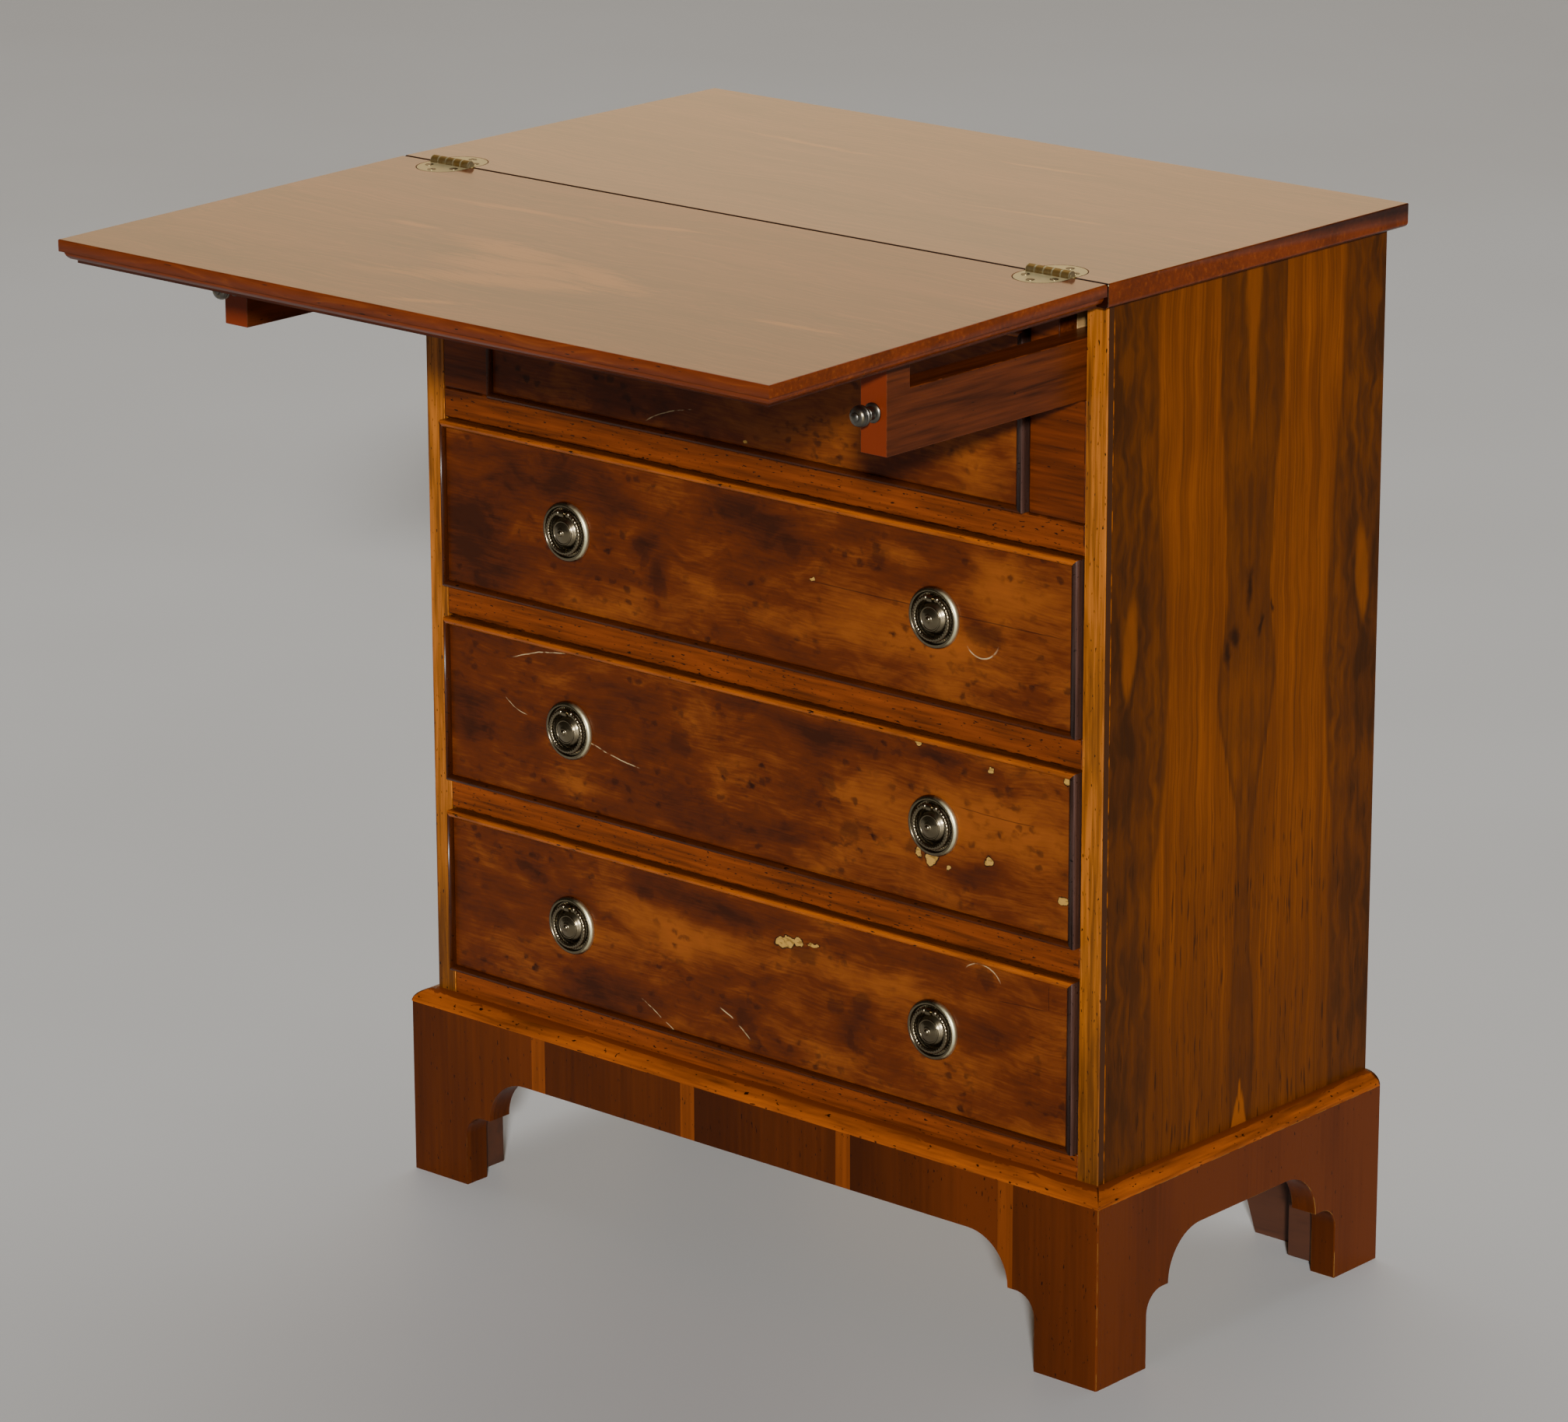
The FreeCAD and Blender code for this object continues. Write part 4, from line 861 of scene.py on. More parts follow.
def lathe(work, profile, centre, steps, rub=None):
    """Turns a profile of radius and height about the line through centre towards the front."""
    layer = work.verts.layers.float.get("rub") or work.verts.layers.float.new("rub")
    rings = []
    for radius, height in profile:
        count = steps if radius > 0 else 1
        ring = []
        for k in range(count):
            angle = 2 * math.pi * k / steps
            point = centre + FRONT * height * MM
            point += Vector((math.cos(angle), 0, math.sin(angle))) * radius * MM
            vert = work.verts.new(point)
            vert[layer] = rub(radius, height, angle) if rub else 0.0
            ring.append(vert)
        rings.append(ring)
    for low, high in zip(rings, rings[1:]):
        for k in range(steps):
            around = ((low, k), (low, k + 1), (high, k + 1), (high, k))
            corners = list(dict.fromkeys(ring[place % len(ring)] for ring, place in around))
            if len(corners) > 2:
                work.faces.new(corners)


def bow(centre_r, centre_h, radius, start, end, steps):
    """Points of a round stretch of a profile, from one angle to another."""
    points = []
    for k in range(steps + 1):
        angle = math.radians(start + (end - start) * k / steps)
        points.append((centre_r + radius * math.cos(angle), centre_h + radius * math.sin(angle)))
    return points


def plate_profile():
    """Pull plate from its outer back edge to the tip of its button: shoulder, rim, dish and broad dome."""
    profile = [(20.6, 0.0), (20.9, 0.5)] + bow(18.3, 1.05, 2.6, 0, 96, 10) + [(17.5, 3.1), (17.1, 1.6)]
    profile += [(12.8, 1.4), (12.1, 1.9)] + bow(0, -8.14, 15.54, 41.7, 56, 4)
    profile += bow(7.9, 5.2, 0.6, -20, 150, 6) + bow(0, -8.14, 15.54, 63, 79, 4)
    profile += [(2.6, 7.5)] + bow(0, 6.6, 2.3, 25, 85, 5) + [(0, 8.9)]
    return profile


def lug(work, pivot, half_width, radius, root_y):
    """Ear that holds the ring: round at the pivot, straight down to the plate."""
    steps = 12
    outline = []
    for k in range(steps + 1):
        angle = math.radians(90 + 180 * k / steps)
        outline.append((pivot.y + math.cos(angle) * radius, pivot.z + math.sin(angle) * radius))
    outline = [(root_y, pivot.z + radius)] + outline + [(root_y, pivot.z - radius)]
    ends = [[work.verts.new((pivot.x + way * half_width, y, z)) for y, z in outline] for way in (-1, 1)]
    work.faces.new(ends[0])
    work.faces.new(list(reversed(ends[1])))
    for k in range(len(outline)):
        after = (k + 1) % len(outline)
        work.faces.new([ends[0][after], ends[0][k], ends[1][k], ends[1][after]])


def tube(work, points, radius, around, carve=None):
    """Round bar through points in one upright plane, capped at both ends."""
    rings = []
    for k, point in enumerate(points):
        ahead = points[min(k + 1, len(points) - 1)] - points[max(k - 1, 0)]
        side = ahead.normalized().cross(FRONT)
        ring = []
        for j in range(around):
            angle = 2 * math.pi * j / around
            reach = radius - (carve(k / (len(points) - 1), angle) if carve else 0.0)
            ring.append(work.verts.new(point + (side * math.cos(angle) + FRONT * math.sin(angle)) * reach))
        rings.append(ring)
    for low, high in zip(rings, rings[1:]):
        for j in range(around):
            after = (j + 1) % around
            work.faces.new([low[j], low[after], high[after], high[j]])
    work.faces.new(list(reversed(rings[0])))
    work.faces.new(rings[-1])


def cast(work, node, ending, body, slot):
    """Metal piece from a bmesh in place of a node, its faces turned outwards."""
    weld = 0.001 * MM
    bmesh.ops.remove_doubles(work, verts=work.verts, dist=weld)
    bmesh.ops.recalc_face_normals(work, faces=work.faces)
    mesh = bpy.data.meshes.new(node + ending)
    work.to_mesh(mesh)
    work.free()
    mesh.materials.append(finish(slot))
    mesh.shade_smooth()
    mesh.set_sharp_from_angle(angle=CAST_CREASE)
    piece = linked(node + ending, mesh)
    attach(piece, body)
    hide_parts(node)


def pull_places(row):
    """Centres of the two plates on a drawer's field, and the rings' pivots above them."""
    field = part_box("drawer_%d_front" % row)[0].y
    low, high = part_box("drawer_%d_pull_plates" % row)
    places = {}
    for side in SIDES:
        pivot = Vector(JOINTS["drawer_%d_ring_%s_swing" % (row, side)]["pos_m"])
        places[side] = (Vector((pivot.x, field, (low.z + high.z) / 2)), pivot)
    return places


def on_mitre(edge):
    """True for an edge of the plinth that lies in a mitre with the next board."""
    near = 0.3 * MM
    middle = (edge.verts[0].co + edge.verts[1].co) / 2
    return abs((PLINTH_HIGH.x - abs(middle.x)) - (middle.y - PLINTH_LOW.y)) < near


class CHEST_OT_carcass(bpy.types.Operator):
    """Veneer the fixed boards of the carcass and nail on its back"""

    bl_idname = "chest.carcass"
    bl_label = "Carcass"

    def execute(self, context):
        sizes = context.scene.chest_sizes
        for side in SIDES:
            board("carcass_side_" + side, "yew_side", sizes.arris)
        lippings = board("front_lippings", "yew_lipping", sizes.arris / 2)
        marked(lippings, "end", lambda normal, centre: normal.x * centre.x > 0.9 * SIDE_HIGH.x)
        for node in ("bottom_rail", "drawer_rails", "top_rails"):
            board(node, "yew_rail", sizes.arris * 2)
        board("loper_surrounds", "yew_rail", sizes.arris * 2, finish("surround"))
        for node in ("back_panel", "carcass_bottom", "drawer_stops"):
            board(node, "pine", sizes.rough_arris)
        for node in ("loper_guides", "drawer_runners"):
            board(node, "pine", sizes.rough_arris, finish("deep_pine"))
        self.nail_back(sizes)
        return {"FINISHED"}

    def nail_back(self, sizes):
        """Nail heads round the back panel, a little in from its edges."""
        tree, inputs = geometry_tree("back_nails", ("Head radius", "Head height"))
        head = add(tree, "GeometryNodeMeshCylinder", {"Vertices": 10, "Radius": inputs["Head radius"],
                                                      "Depth": inputs["Head height"]})
        laid = add(tree, "GeometryNodeTransform", {"Geometry": head.outputs[0],
                                                   "Rotation": (math.pi / 2, 0, 0)})
        nails = add(tree, "GeometryNodeInstanceOnPoints", {"Points": inputs["Points"],
                                                           "Instance": laid.outputs[0]})
        closed_tree(tree, nails.outputs[0], inputs["Material"])
        inset, end_inset, head_height = 4 * MM, 12 * MM, 0.8 * MM
        low = Vector((BACK_LOW.x + inset, BACK_HIGH.y, BACK_LOW.z + end_inset))
        high = Vector((BACK_HIGH.x - inset, BACK_HIGH.y, BACK_HIGH.z - end_inset))
        across = round((high.x - low.x) / sizes.nail_spacing)
        upward = round((high.z - low.z) / sizes.nail_spacing)
        points = []
        for k in range(across + 1):
            x = low.x + (high.x - low.x) * k / across
            points += [(x, low.y, low.z), (x, low.y, high.z)]
        for k in range(1, upward):
            z = low.z + (high.z - low.z) * k / upward
            points += [(low.x, low.y, z), (high.x, low.y, z)]
        grown("back_nails", points, tree, {"Head radius": sizes.nail_head, "Head height": head_height},
              finish("aged_brass"), "carcass")


class CHEST_OT_plinth(bpy.types.Operator):
    """Veneer the plinth, its moulding and its hidden blocks"""

    bl_idname = "chest.plinth"
    bl_label = "Plinth"

    def execute(self, context):
        sizes = context.scene.chest_sizes
        for node in ("plinth_front", "plinth_side_left", "plinth_side_right"):
            board(node, "yew_plinth", sizes.arris, keep=lambda edge: not on_mitre(edge))
        moulding = board("plinth_moulding", "yew_plinth", 0, finish("moulding"))
        marked(moulding, "end", lambda normal, centre: normal.z > 0.95)
        for node in ("rear_foot_brackets", "plinth_corner_blocks"):
            board(node, "pine", sizes.rough_arris, finish("stained_pine"))
        return {"FINISHED"}


class CHEST_OT_top(bpy.types.Operator):
    """Polish the fixed top and the leaf"""

    bl_idname = "chest.top"
    bl_label = "Top and leaf"

    def execute(self, context):
        radius = context.scene.chest_sizes.joint_round
        for node, way in (("top_fixed", 1), ("top_leaf", -1)):
            piece = board(node, "yew_top", radius, keep=self.at_corner,
                          shape=lambda work, softened: self.ease(work, softened, way, radius))
            marked(piece, "flat", lambda normal, centre: abs(normal.z) > 0.99)
            marked(piece, "knocked", self.is_knocked)
        return {"FINISHED"}

    def ease(self, work, softened, way, radius):
        """Rounds a board's upper edge along the hinge line, and marks the round and the joint for painted
        shade.
        """
        edge = way * min(vert.co.y * way for vert in work.verts if vert.co.z > TOP_HIGH.z - MM)
        for share in (1.0, 0.3):
            bmesh.ops.bisect_plane(work, geom=[*work.verts, *work.edges, *work.faces], dist=0.001 * MM,
                                   plane_co=(0, edge + way * radius * share, 0), plane_no=(0, 1, 0))
        for vert in work.verts:
            depth = max((vert.co.y - edge) * way, 0.0)
            if vert.co.z > TOP_HIGH.z - MM and depth < radius:
                vert.co.z -= radius - math.sqrt(radius ** 2 - (radius - depth) ** 2)
        work.normal_update()
        for face in work.faces:
            centre = face.calc_center_median()
            depth = (centre.y - edge) * way
            on_round = depth < radius and centre.z > TOP_HIGH.z - radius - 0.5 * MM
            if on_round or depth < 0.2 * MM:
                face[softened] = 1.0

    def at_corner(self, edge):
        """True for the fixed top's upright corners at the hinge line."""
        return all(abs(vert.co.y - TOP_LOW.y) < 0.1 * MM and abs(vert.co.x) > TOP_HIGH.x - MM
                   for vert in edge.verts)

    def is_knocked(self, normal, centre):
        """True for the faces of the fixed top's right corner at the hinge line, which are drawn pale."""
        slanted = normal.y < -0.2 and normal.x > 0.2 and abs(normal.z) < 0.5
        return slanted and TOP_LOW.y < centre.y < TOP_LOW.y + 4 * MM and centre.x > TOP_HIGH.x - 4 * MM


class CHEST_OT_hinges(bpy.types.Operator):
    """Finish the hinge plates and pins and drive in their slotted screws"""

    bl_idname = "chest.hinges"
    bl_label = "Hinges"

    def execute(self, context):
        sizes = context.scene.chest_sizes
        for node in ("hinge_plates_fixed", "hinge_plates_leaf", "hinge_pins"):
            board(node, "hinge_brass", sizes.plate_edge, keep=self.on_top)
        tree = self.screw_tree()
        inputs = {"Head radius": sizes.screw_head, "Slot width": sizes.screw_slot, "Head height": 1.0 * MM}
        screws = ((-11.5, 10.5), (11.5, 10.5), (0, 20))
        level = TOP_HIGH.z - 0.28 * MM
        for name, way, body, turn in (("fixed", 1, "carcass", None), ("leaf", -1, "leaf", self.drooped())):
            points = [(centre + x * MM, way * y * MM, level)
                      for centre in (-HINGE_MIDDLE, HINGE_MIDDLE) for x, y in screws]
            grown("hinge_screws_" + name, points, tree, inputs, finish("aged_brass"), body,
                  turn)
        return {"FINISHED"}

    def on_top(self, edge):
        """True for the upper outline of a plate, away from the knuckles."""
        return all(vert.co.z > TOP_HIGH.z - MM and abs(vert.co.y) > 5 * MM for vert in edge.verts)

    def drooped(self):
        """Turn of the open leaf about the hinge pins."""
        return (Matrix.Translation(HINGE_AXIS) @ Matrix.Rotation(LEAF_DROOP, 4, "X")
                @ Matrix.Translation(-HINGE_AXIS))

    def screw_tree(self):
        """Countersunk heads, each with its slot turned its own way."""
        tree, inputs = geometry_tree("hinge_screws", ("Head radius", "Slot width", "Head height"))
        head = add(tree, "GeometryNodeMeshCylinder", {"Vertices": 24, "Radius": inputs["Head radius"],
                                                      "Depth": inputs["Head height"]})
        span = add(tree, "ShaderNodeMath", {0: inputs["Head radius"], 1: 2.4}, operation="MULTIPLY")
        size = add(tree, "ShaderNodeCombineXYZ", {0: span.outputs[0], 1: inputs["Slot width"],
                                                  2: inputs["Head height"]})
        lift = add(tree, "ShaderNodeMath", {0: inputs["Head height"], 1: 0.5}, operation="MULTIPLY")
        raised = add(tree, "ShaderNodeCombineXYZ", {2: lift.outputs[0]})
        block = add(tree, "GeometryNodeMeshCube", {"Size": size.outputs[0]})
        slot = add(tree, "GeometryNodeTransform", {"Geometry": block.outputs[0],
                                                   "Translation": raised.outputs[0]})
        screw = add(tree, "GeometryNodeMeshBoolean", {"Mesh 1": head.outputs[0], "Mesh 2": slot.outputs[0]},
                    operation="DIFFERENCE")
        turn = add(tree, "FunctionNodeRandomValue", {"Min": (0, 0, 0), "Max": (0, 0, math.pi), "Seed": 5},
                   data_type="FLOAT_VECTOR")
        screws = add(tree, "GeometryNodeInstanceOnPoints", {
            "Points": inputs["Points"], "Instance": screw.outputs[0], "Rotation": turn.outputs[0]})
        closed_tree(tree, screws.outputs[0], inputs["Material"])
        return tree


class CHEST_OT_lopers(bpy.types.Operator):
    """Finish the lopers and turn their knobs"""

    bl_idname = "chest.lopers"
    bl_label = "Lopers"

    def execute(self, context):
        sizes = context.scene.chest_sizes
        for side in SIDES:
            loper = board("loper_" + side, "loper_wood", sizes.arris)
            marked(loper, "end", lambda normal, centre: normal.y < -0.9)
            self.knob(side)
        return {"FINISHED"}

    def knob(self, side):
        """Turned knob: flange, beaded neck, drum with a fillet, domed face and button."""
        node = "loper_knob_" + side
        low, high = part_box(node)
        loper_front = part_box("loper_" + side)[0].y
        centre = Vector(((low.x + high.x) / 2, loper_front, (low.z + high.z) / 2))
        profile = [(0, 0.0), (5.6, 0.0), (6.4, 0.6), (6.4, 1.5), (5.8, 2.2), (4.4, 2.6), (3.8, 4.0)]
        profile += bow(3.7, 6.3, 1.0, -80, 80, 6) + [(3.8, 8.6), (5.2, 9.6), (6.4, 10.2)]
        profile += bow(6.1, 11.0, 0.7, -60, 60, 4) + [(6.0, 11.9)] + bow(6.1, 13.4, 0.7, -60, 60, 4)
        profile += [(6.2, 14.8), (6.0, 15.4), (4.9, 16.4), (3.6, 17.0), (3.1, 17.1)]
        profile += [(3.0, 17.8), (2.2, 18.5), (1.1, 18.9), (0, 19.0)]
        work = bmesh.new()
        lathe(work, profile, centre, 40)
        cast(work, node, "_turned", "loper_" + side, "knob_metal")


class CHEST_OT_drawers(bpy.types.Operator):
    """Veneer the drawer fronts, paint light and shade on their beads and plane the drawer boxes"""

    bl_idname = "chest.drawers"
    bl_label = "Drawers"

    def execute(self, context):
        sizes = context.scene.chest_sizes
        for row in ROWS:
            name = "drawer_%d_" % row
            board(name + "front", "burr_yew", sizes.arris / 3, burr_yew(row))
            self.stain(board(name + "cockbead", "bead_wood", 0))
            board(name + "sides", "pine", sizes.rough_arris, finish("deep_pine"))
            for part in ("back", "bottom"):
                board(name + part, "pine", sizes.rough_arris)
        return {"FINISHED"}

    def stain(self, bead):
        """Marks each of a drawer's four beads for painted light and shade: the right one darkest, the top one
        lit.
        """
        work = bmesh.new()
        work.from_mesh(bead.data)
        layer = work.verts.layers.float.new("stain")
        heights = [vert.co.z for vert in work.verts]
        middle = (min(heights) + max(heights)) / 2
        left = set(work.verts)
        while left:
            strip = [left.pop()]
            for vert in strip:
                for edge in vert.link_edges:
                    other = edge.other_vert(vert)
                    if other in left:
                        left.remove(other)
                        strip.append(other)
            rise = [vert.co.z for vert in strip]
            upright = max(rise) - min(rise) > 20 * MM
            on_right = strip[0].co.x > 0
            # Painted shade: the right upright darkest, the left one less, the lower bead half, the upper bead
            # painted lit
            dark = (1.0 if on_right else 0.65) if upright else 0.1 if sum(rise) / len(rise) > middle else 0.55
            for vert in strip:
                vert[layer] = dark
        work.to_mesh(bead.data)
        work.free()


class CHEST_OT_pulls(bpy.types.Operator):
    """Cast the ring pulls and bolt them on"""

    bl_idname = "chest.pulls"
    bl_label = "Ring pulls"

    def execute(self, context):
        sizes = context.scene.chest_sizes
        flute_tree = self.flute_tree(sizes.flutes)
        nut_tree = self.nut_tree()
        for row in ROWS:
            self.plates(row, sizes, flute_tree, nut_tree)
            for side in SIDES:
                self.ring(row, side, sizes)
        return {"FINISHED"}

    def plates(self, row, sizes, flute_tree, nut_tree):
        """Two plates with their lugs and posts, the flutes round their dishes and the nuts behind."""
        name = "drawer_%d_pull_plates" % row
        body = "drawer_%d" % row
        places = pull_places(row)
        work = bmesh.new()
        for centre, pivot in places.values():
            lathe(work, plate_profile(), centre, 72, self.rubbed)
            lug(work, pivot, 2.1 * MM, 2.6 * MM, centre.y)
            post = [(0, -28.0), (1.8, -28.0), (2.4, -27.0), (2.4, 0.0), (0, 0.0)]
            lathe(work, post, centre, 16)
        cast(work, name, "_cast", body, "aged_brass")
        wreath_radius, wreath_height = 15.6 * MM, 1.5 * MM
        flute_sizes = {"Length": sizes.flute_length, "Width": sizes.flute_width, "Height": sizes.flute_height,
                       "Wreath radius": wreath_radius}
        fronts = [centre + FRONT * wreath_height for centre, pivot in places.values()]
        grown("drawer_%d_pull_flutes" % row, fronts, flute_tree, flute_sizes, finish("aged_brass"), body)
        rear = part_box("drawer_%d_front" % row)[1].y
        backs = [Vector((centre.x, rear, centre.z)) for centre, pivot in places.values()]
        nut_sizes = {"Nut width": sizes.nut_width, "Nut height": sizes.nut_height,
                     "Washer radius": sizes.washer}
        grown("drawer_%d_pull_nuts" % row, backs, nut_tree, nut_sizes, finish("hinge_brass"), body)

    def rubbed(self, radius, height, angle):
        """How bright a place on a plate is: a painted highlight on the right of its shoulder, a little
        brightness from rubbing on the rim and button, dark in its dish.
        """
        shoulder, rim, button = 19.2, 17.4, 7.3
        if radius > shoulder:
            # Painted highlight: the shoulder is brightest on its right, where the light falls, and dark on
            # its left
            return min(1.0, max(0.0, 1.3 * math.cos(angle - 0.2)))
        return 0.25 if radius > rim or height > button else 0.0

    def ring(self, row, side, sizes):
        """Rope-carved hoop with ball ends on a pin, hung from the plate's lug."""
        name = "drawer_%d_ring_%s" % (row, side)
        centre, pivot = pull_places(row)[side]
        hub = Vector((centre.x, pivot.y, centre.z))
        radius, wire, pin, ball = 14.2 * MM, 1.7 * MM, 1.15 * MM, 2.25 * MM
        gap = math.radians(20)
        steps = 150

        def carve(share, angle):
            wave = math.cos(sizes.rope_twists * 2 * math.pi * share + angle)
            return sizes.rope_depth * (0.5 + 0.5 * wave)

        points = []
        for k in range(steps + 1):
            angle = gap + (2 * math.pi - 2 * gap) * k / steps
            points.append(hub + Vector((math.sin(angle), 0, math.cos(angle))) * radius)
        work = bmesh.new()
        tube(work, points, wire, 14, carve)
        reach = math.sin(gap) * radius
        ends = [pivot - Vector((reach, 0, 0)), pivot + Vector((reach, 0, 0))]
        tube(work, ends, pin, 12)
        for end in ends:
            bmesh.ops.create_uvsphere(work, u_segments=16, v_segments=10, radius=ball,
                                      matrix=Matrix.Translation(end))
        cast(work, name, "_cast", name, "aged_brass")

    def flute_tree(self, count):
        """Wreath of small gadroons on each plate."""
        tree, inputs = geometry_tree("pull_flutes", ("Length", "Width", "Height", "Wreath radius"))
        size = add(tree, "ShaderNodeCombineXYZ", {0: inputs["Length"], 1: inputs["Width"],
                                                  2: inputs["Height"]})
        seed = add(tree, "GeometryNodeMeshUVSphere", {"Segments": 8, "Rings": 5, "Radius": 0.5})
        flute = add(tree, "GeometryNodeTransform", {"Geometry": seed.outputs[0], "Scale": size.outputs[0]})
        circle = add(tree, "GeometryNodeMeshCircle", {"Vertices": count, "Radius": inputs["Wreath radius"]})
        spread = add(tree, "GeometryNodeInputIndex")
        angle = add(tree, "ShaderNodeMath", {0: spread.outputs[0], 1: 2 * math.pi / count},
                    operation="MULTIPLY")
        turn = add(tree, "ShaderNodeCombineXYZ", {2: angle.outputs[0]})
        wreath = add(tree, "GeometryNodeInstanceOnPoints", {
            "Points": circle.outputs[0], "Instance": flute.outputs[0], "Rotation": turn.outputs[0]})
        upright = add(tree, "GeometryNodeTransform", {"Geometry": wreath.outputs[0],
                                                      "Rotation": (math.pi / 2, 0, 0)})
        wreaths = add(tree, "GeometryNodeInstanceOnPoints", {"Points": inputs["Points"],
                                                             "Instance": upright.outputs[0]})
        closed_tree(tree, wreaths.outputs[0], inputs["Material"])
        return tree

    def nut_tree(self):
        """Square nut on a round washer behind each drawer front."""
        tree, inputs = geometry_tree("pull_nuts", ("Nut width", "Nut height", "Washer radius"))
        thin = add(tree, "ShaderNodeMath", {0: inputs["Nut height"], 1: 0.3}, operation="MULTIPLY")
        washer = add(tree, "GeometryNodeMeshCylinder", {"Vertices": 28, "Radius": inputs["Washer radius"],
                                                        "Depth": thin.outputs[0]})
        corner = add(tree, "ShaderNodeMath", {0: inputs["Nut width"], 1: math.sqrt(0.5)},
                     operation="MULTIPLY")
        nut = add(tree, "GeometryNodeMeshCylinder", {"Vertices": 4, "Radius": corner.outputs[0],
                                                     "Depth": inputs["Nut height"]})
        rise = add(tree, "ShaderNodeMath", {0: inputs["Nut height"], 1: 0.8}, operation="MULTIPLY")
        lift = add(tree, "ShaderNodeCombineXYZ", {2: rise.outputs[0]})
        raised = add(tree, "GeometryNodeTransform", {"Geometry": nut.outputs[0],
                                                     "Translation": lift.outputs[0]})
        both = add(tree, "GeometryNodeJoinGeometry", {0: washer.outputs[0]})
        tree.links.new(raised.outputs[0], both.inputs[0])
        half = add(tree, "ShaderNodeMath", {0: thin.outputs[0], 1: 0.5}, operation="MULTIPLY")
        stand = add(tree, "ShaderNodeCombineXYZ", {1: half.outputs[0]})
        laid = add(tree, "GeometryNodeTransform", {
            "Geometry": both.outputs[0], "Rotation": (-math.pi / 2, 0, 0), "Translation": stand.outputs[0]})
        nuts = add(tree, "GeometryNodeInstanceOnPoints", {"Points": inputs["Points"],
                                                          "Instance": laid.outputs[0]})
        closed_tree(tree, nuts.outputs[0], inputs["Material"])
        return tree


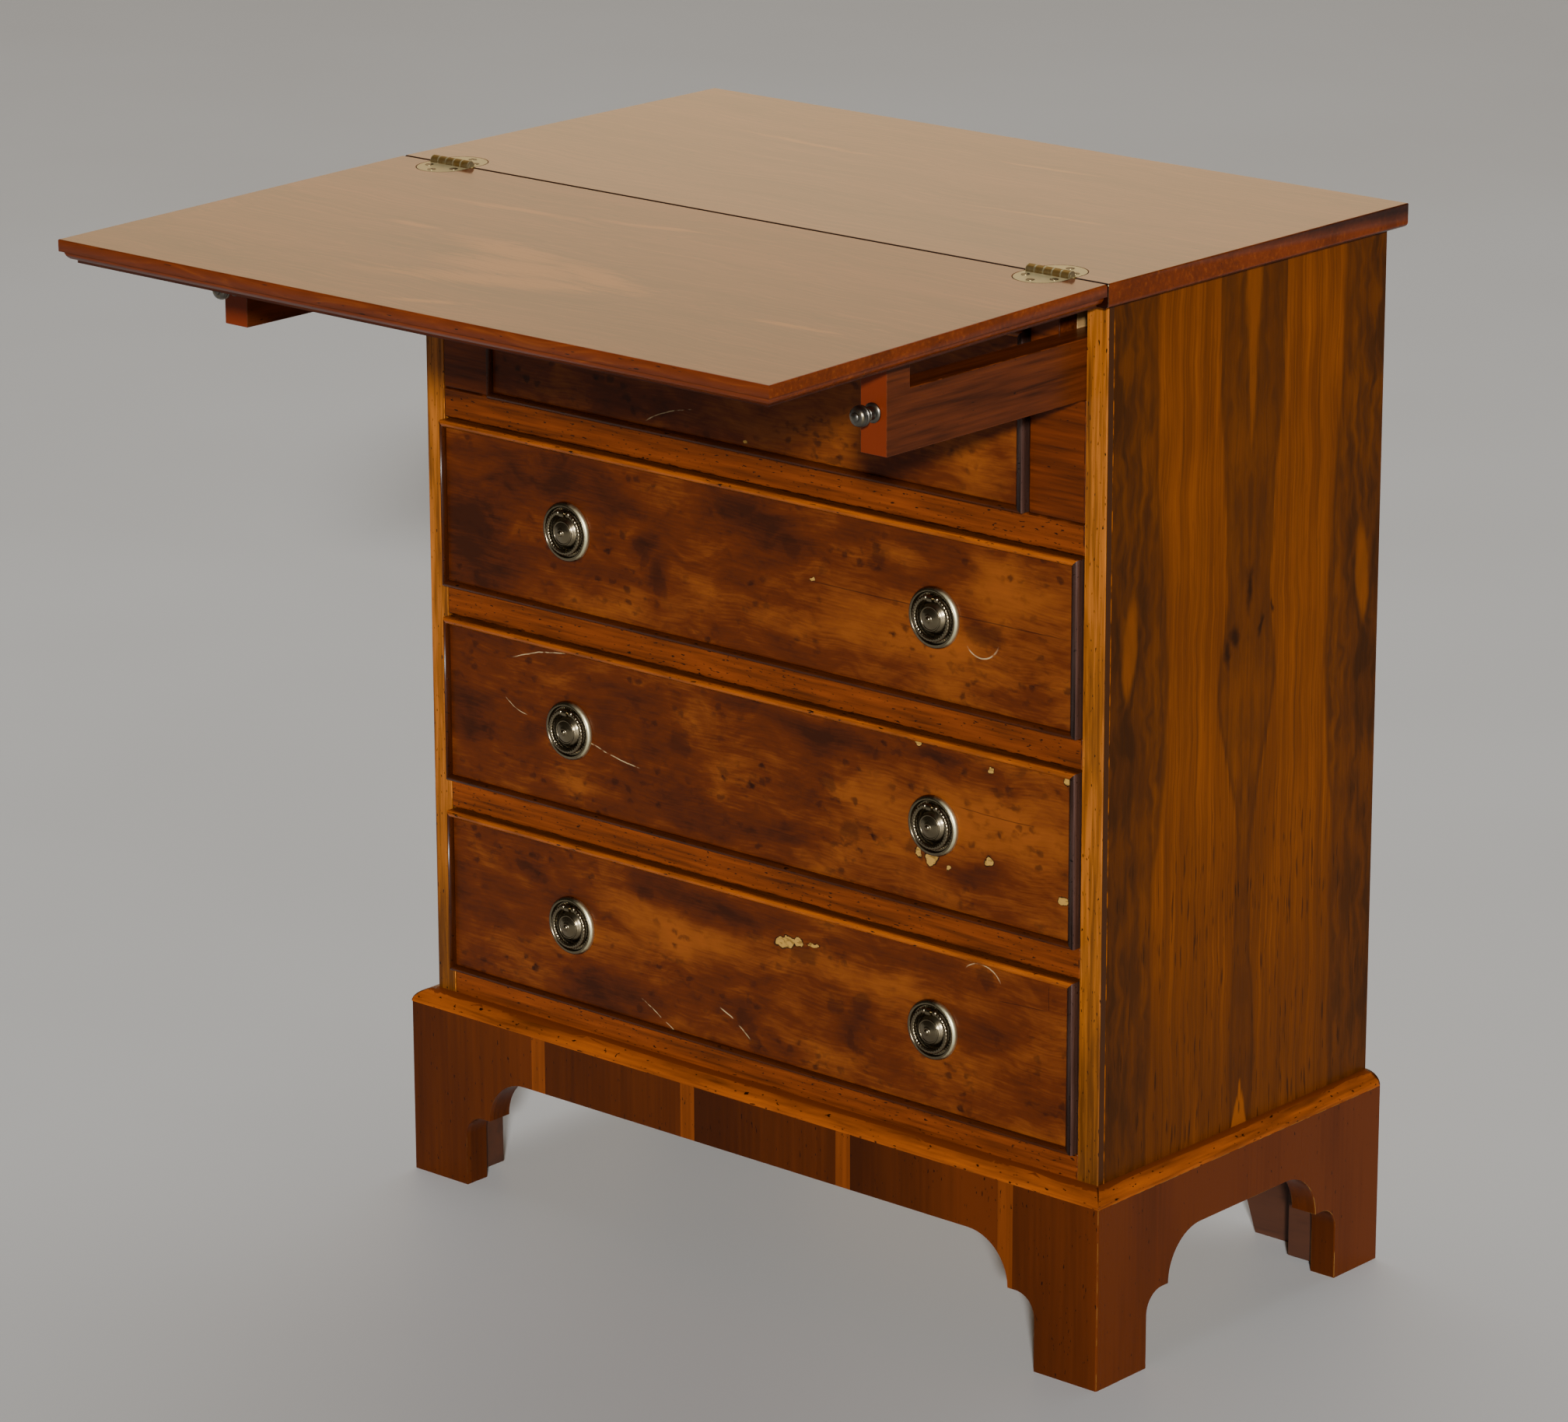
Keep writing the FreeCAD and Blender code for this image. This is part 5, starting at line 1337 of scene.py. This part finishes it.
class CHEST_OT_stage(bpy.types.Operator):
    """Lay the floor and set the lights and the camera"""

    bl_idname = "chest.stage"
    bl_label = "Stage"

    def execute(self, context):
        stage = context.scene.chest_stage
        self.floor(stage)
        self.air(context.scene, stage)
        aim = Vector((0, 0, 0.42))
        key = self.light("key_light", "SUN", aim, 41, 18.5, stage.key_power)
        key.angle = math.radians(4)
        fill = self.light("fill_light", "AREA", aim, 215, 72, stage.fill_power)
        fill.size = 3.0
        self.camera(context.scene, stage)
        return {"FINISHED"}

    def floor(self, stage):
        """Wide plain painted floor with a faint cloudiness."""
        # To the eye: an even pale ground that does no more than catch soft shadows.
        made, tree, shader = surface("painted_floor")
        place = millimetres(tree)
        cloud = grain(tree, place, (700, 700, 700), 1.0, 3.0)
        tone = mixed(tree, stepped(tree, cloud, 0.2, 0.9), stage.floor, toned(stage.floor, 0.92))
        polish(tree, shader, tone, cloud, 0.05, 0.5, 0.6)
        half = 16.0
        mesh = bpy.data.meshes.new("floor")
        mesh.from_pydata([(-half, -half, 0), (half, -half, 0), (half, half, 0), (-half, half, 0)], [],
                         [(0, 1, 2, 3)])
        mesh.materials.append(made)
        floor = linked("floor", mesh)

    def air(self, scene, stage):
        """Pale glow from behind, as a wall gives, fading to a dim room in front."""
        world = bpy.data.worlds.new("studio_air")
        world.use_nodes = True
        tree = world.node_tree
        tree.nodes.clear()
        to_wall, strength = (-0.654, 0.752, -0.087), 1.5
        way = add(tree, "ShaderNodeTexCoord").outputs["Generated"]
        behind = add(tree, "ShaderNodeVectorMath", {0: way, 1: to_wall}, operation="DOT_PRODUCT")
        tone = mixed(tree, stepped(tree, behind.outputs["Value"], 0.82, 1.0), stage.room, stage.wall)
        glow = add(tree, "ShaderNodeBackground", {"Color": tone, "Strength": strength})
        add(tree, "ShaderNodeOutputWorld", {"Surface": glow.outputs[0]})
        scene.world = world

    def light(self, name, kind, aim, azimuth, elevation, power):
        """Soft light some way off, placed round the chest as a camera would be."""
        distance = 4.0
        a, e = math.radians(azimuth), math.radians(elevation)
        back = Vector((math.sin(a) * math.cos(e), -math.cos(a) * math.cos(e), math.sin(e)))
        lamp = bpy.data.lights.new(name, kind)
        lamp.energy = power
        holder = linked(name, lamp)
        holder.location = aim + back * distance
        holder.rotation_mode = "QUATERNION"
        holder.rotation_quaternion = (-back).to_track_quat("-Z", "Y")
        return lamp

    def camera(self, scene, stage):
        """Camera at the place, aim and roll fitted to the photograph."""
        place = Vector((2.595, -2.9037, 1.5761))
        aim = Vector((0.0379, 0, 0.4105))
        roll = math.radians(-0.181)
        lens = bpy.data.cameras.new("camera")
        lens.lens = stage.lens
        lens.sensor_width = 36
        lens.sensor_fit = "HORIZONTAL"
        camera = linked("camera", lens)
        camera.location = place
        camera.rotation_mode = "QUATERNION"
        camera.rotation_quaternion = (aim - place).to_track_quat("-Z", "Y") @ Quaternion((0, 0, 1), roll)
        scene.camera = camera


OPERATORS = (CHEST_OT_carcass, CHEST_OT_plinth, CHEST_OT_top, CHEST_OT_hinges, CHEST_OT_lopers,
             CHEST_OT_drawers, CHEST_OT_pulls, CHEST_OT_stage)


class CHEST_PT_panel(bpy.types.Panel):
    """Lists the steps that dress the chest"""

    bl_idname = "CHEST_PT_panel"
    bl_label = "Bachelor's chest"
    bl_space_type = "VIEW_3D"
    bl_region_type = "UI"
    bl_category = "Chest"

    def draw(self, context):
        for operator in OPERATORS:
            self.layout.operator(operator.bl_idname)
        for group in (context.scene.chest_sizes, context.scene.chest_colours, context.scene.chest_stage):
            box = self.layout.box()
            for name in group.__annotations__:
                box.prop(group, name)


GROUPS = {"chest_sizes": ChestSizes, "chest_colours": ChestColours, "chest_stage": ChestStage}
CLASSES = (*GROUPS.values(), *OPERATORS, CHEST_PT_panel)


def register():
    """Adds the classes and hangs the settings on the scene."""
    for cls in CLASSES:
        bpy.utils.register_class(cls)
    for name, cls in GROUPS.items():
        setattr(bpy.types.Scene, name, PointerProperty(type=cls))


def unregister():
    """Takes the settings and the classes away again."""
    for name in GROUPS:
        delattr(bpy.types.Scene, name)
    for cls in reversed(CLASSES):
        bpy.utils.unregister_class(cls)


def main():
    """Dresses the chest step by step."""
    register()
    for operator in OPERATORS:
        group, name = operator.bl_idname.split(".")
        getattr(getattr(bpy.ops, group), name)()


if __name__ == "__main__":
    main()
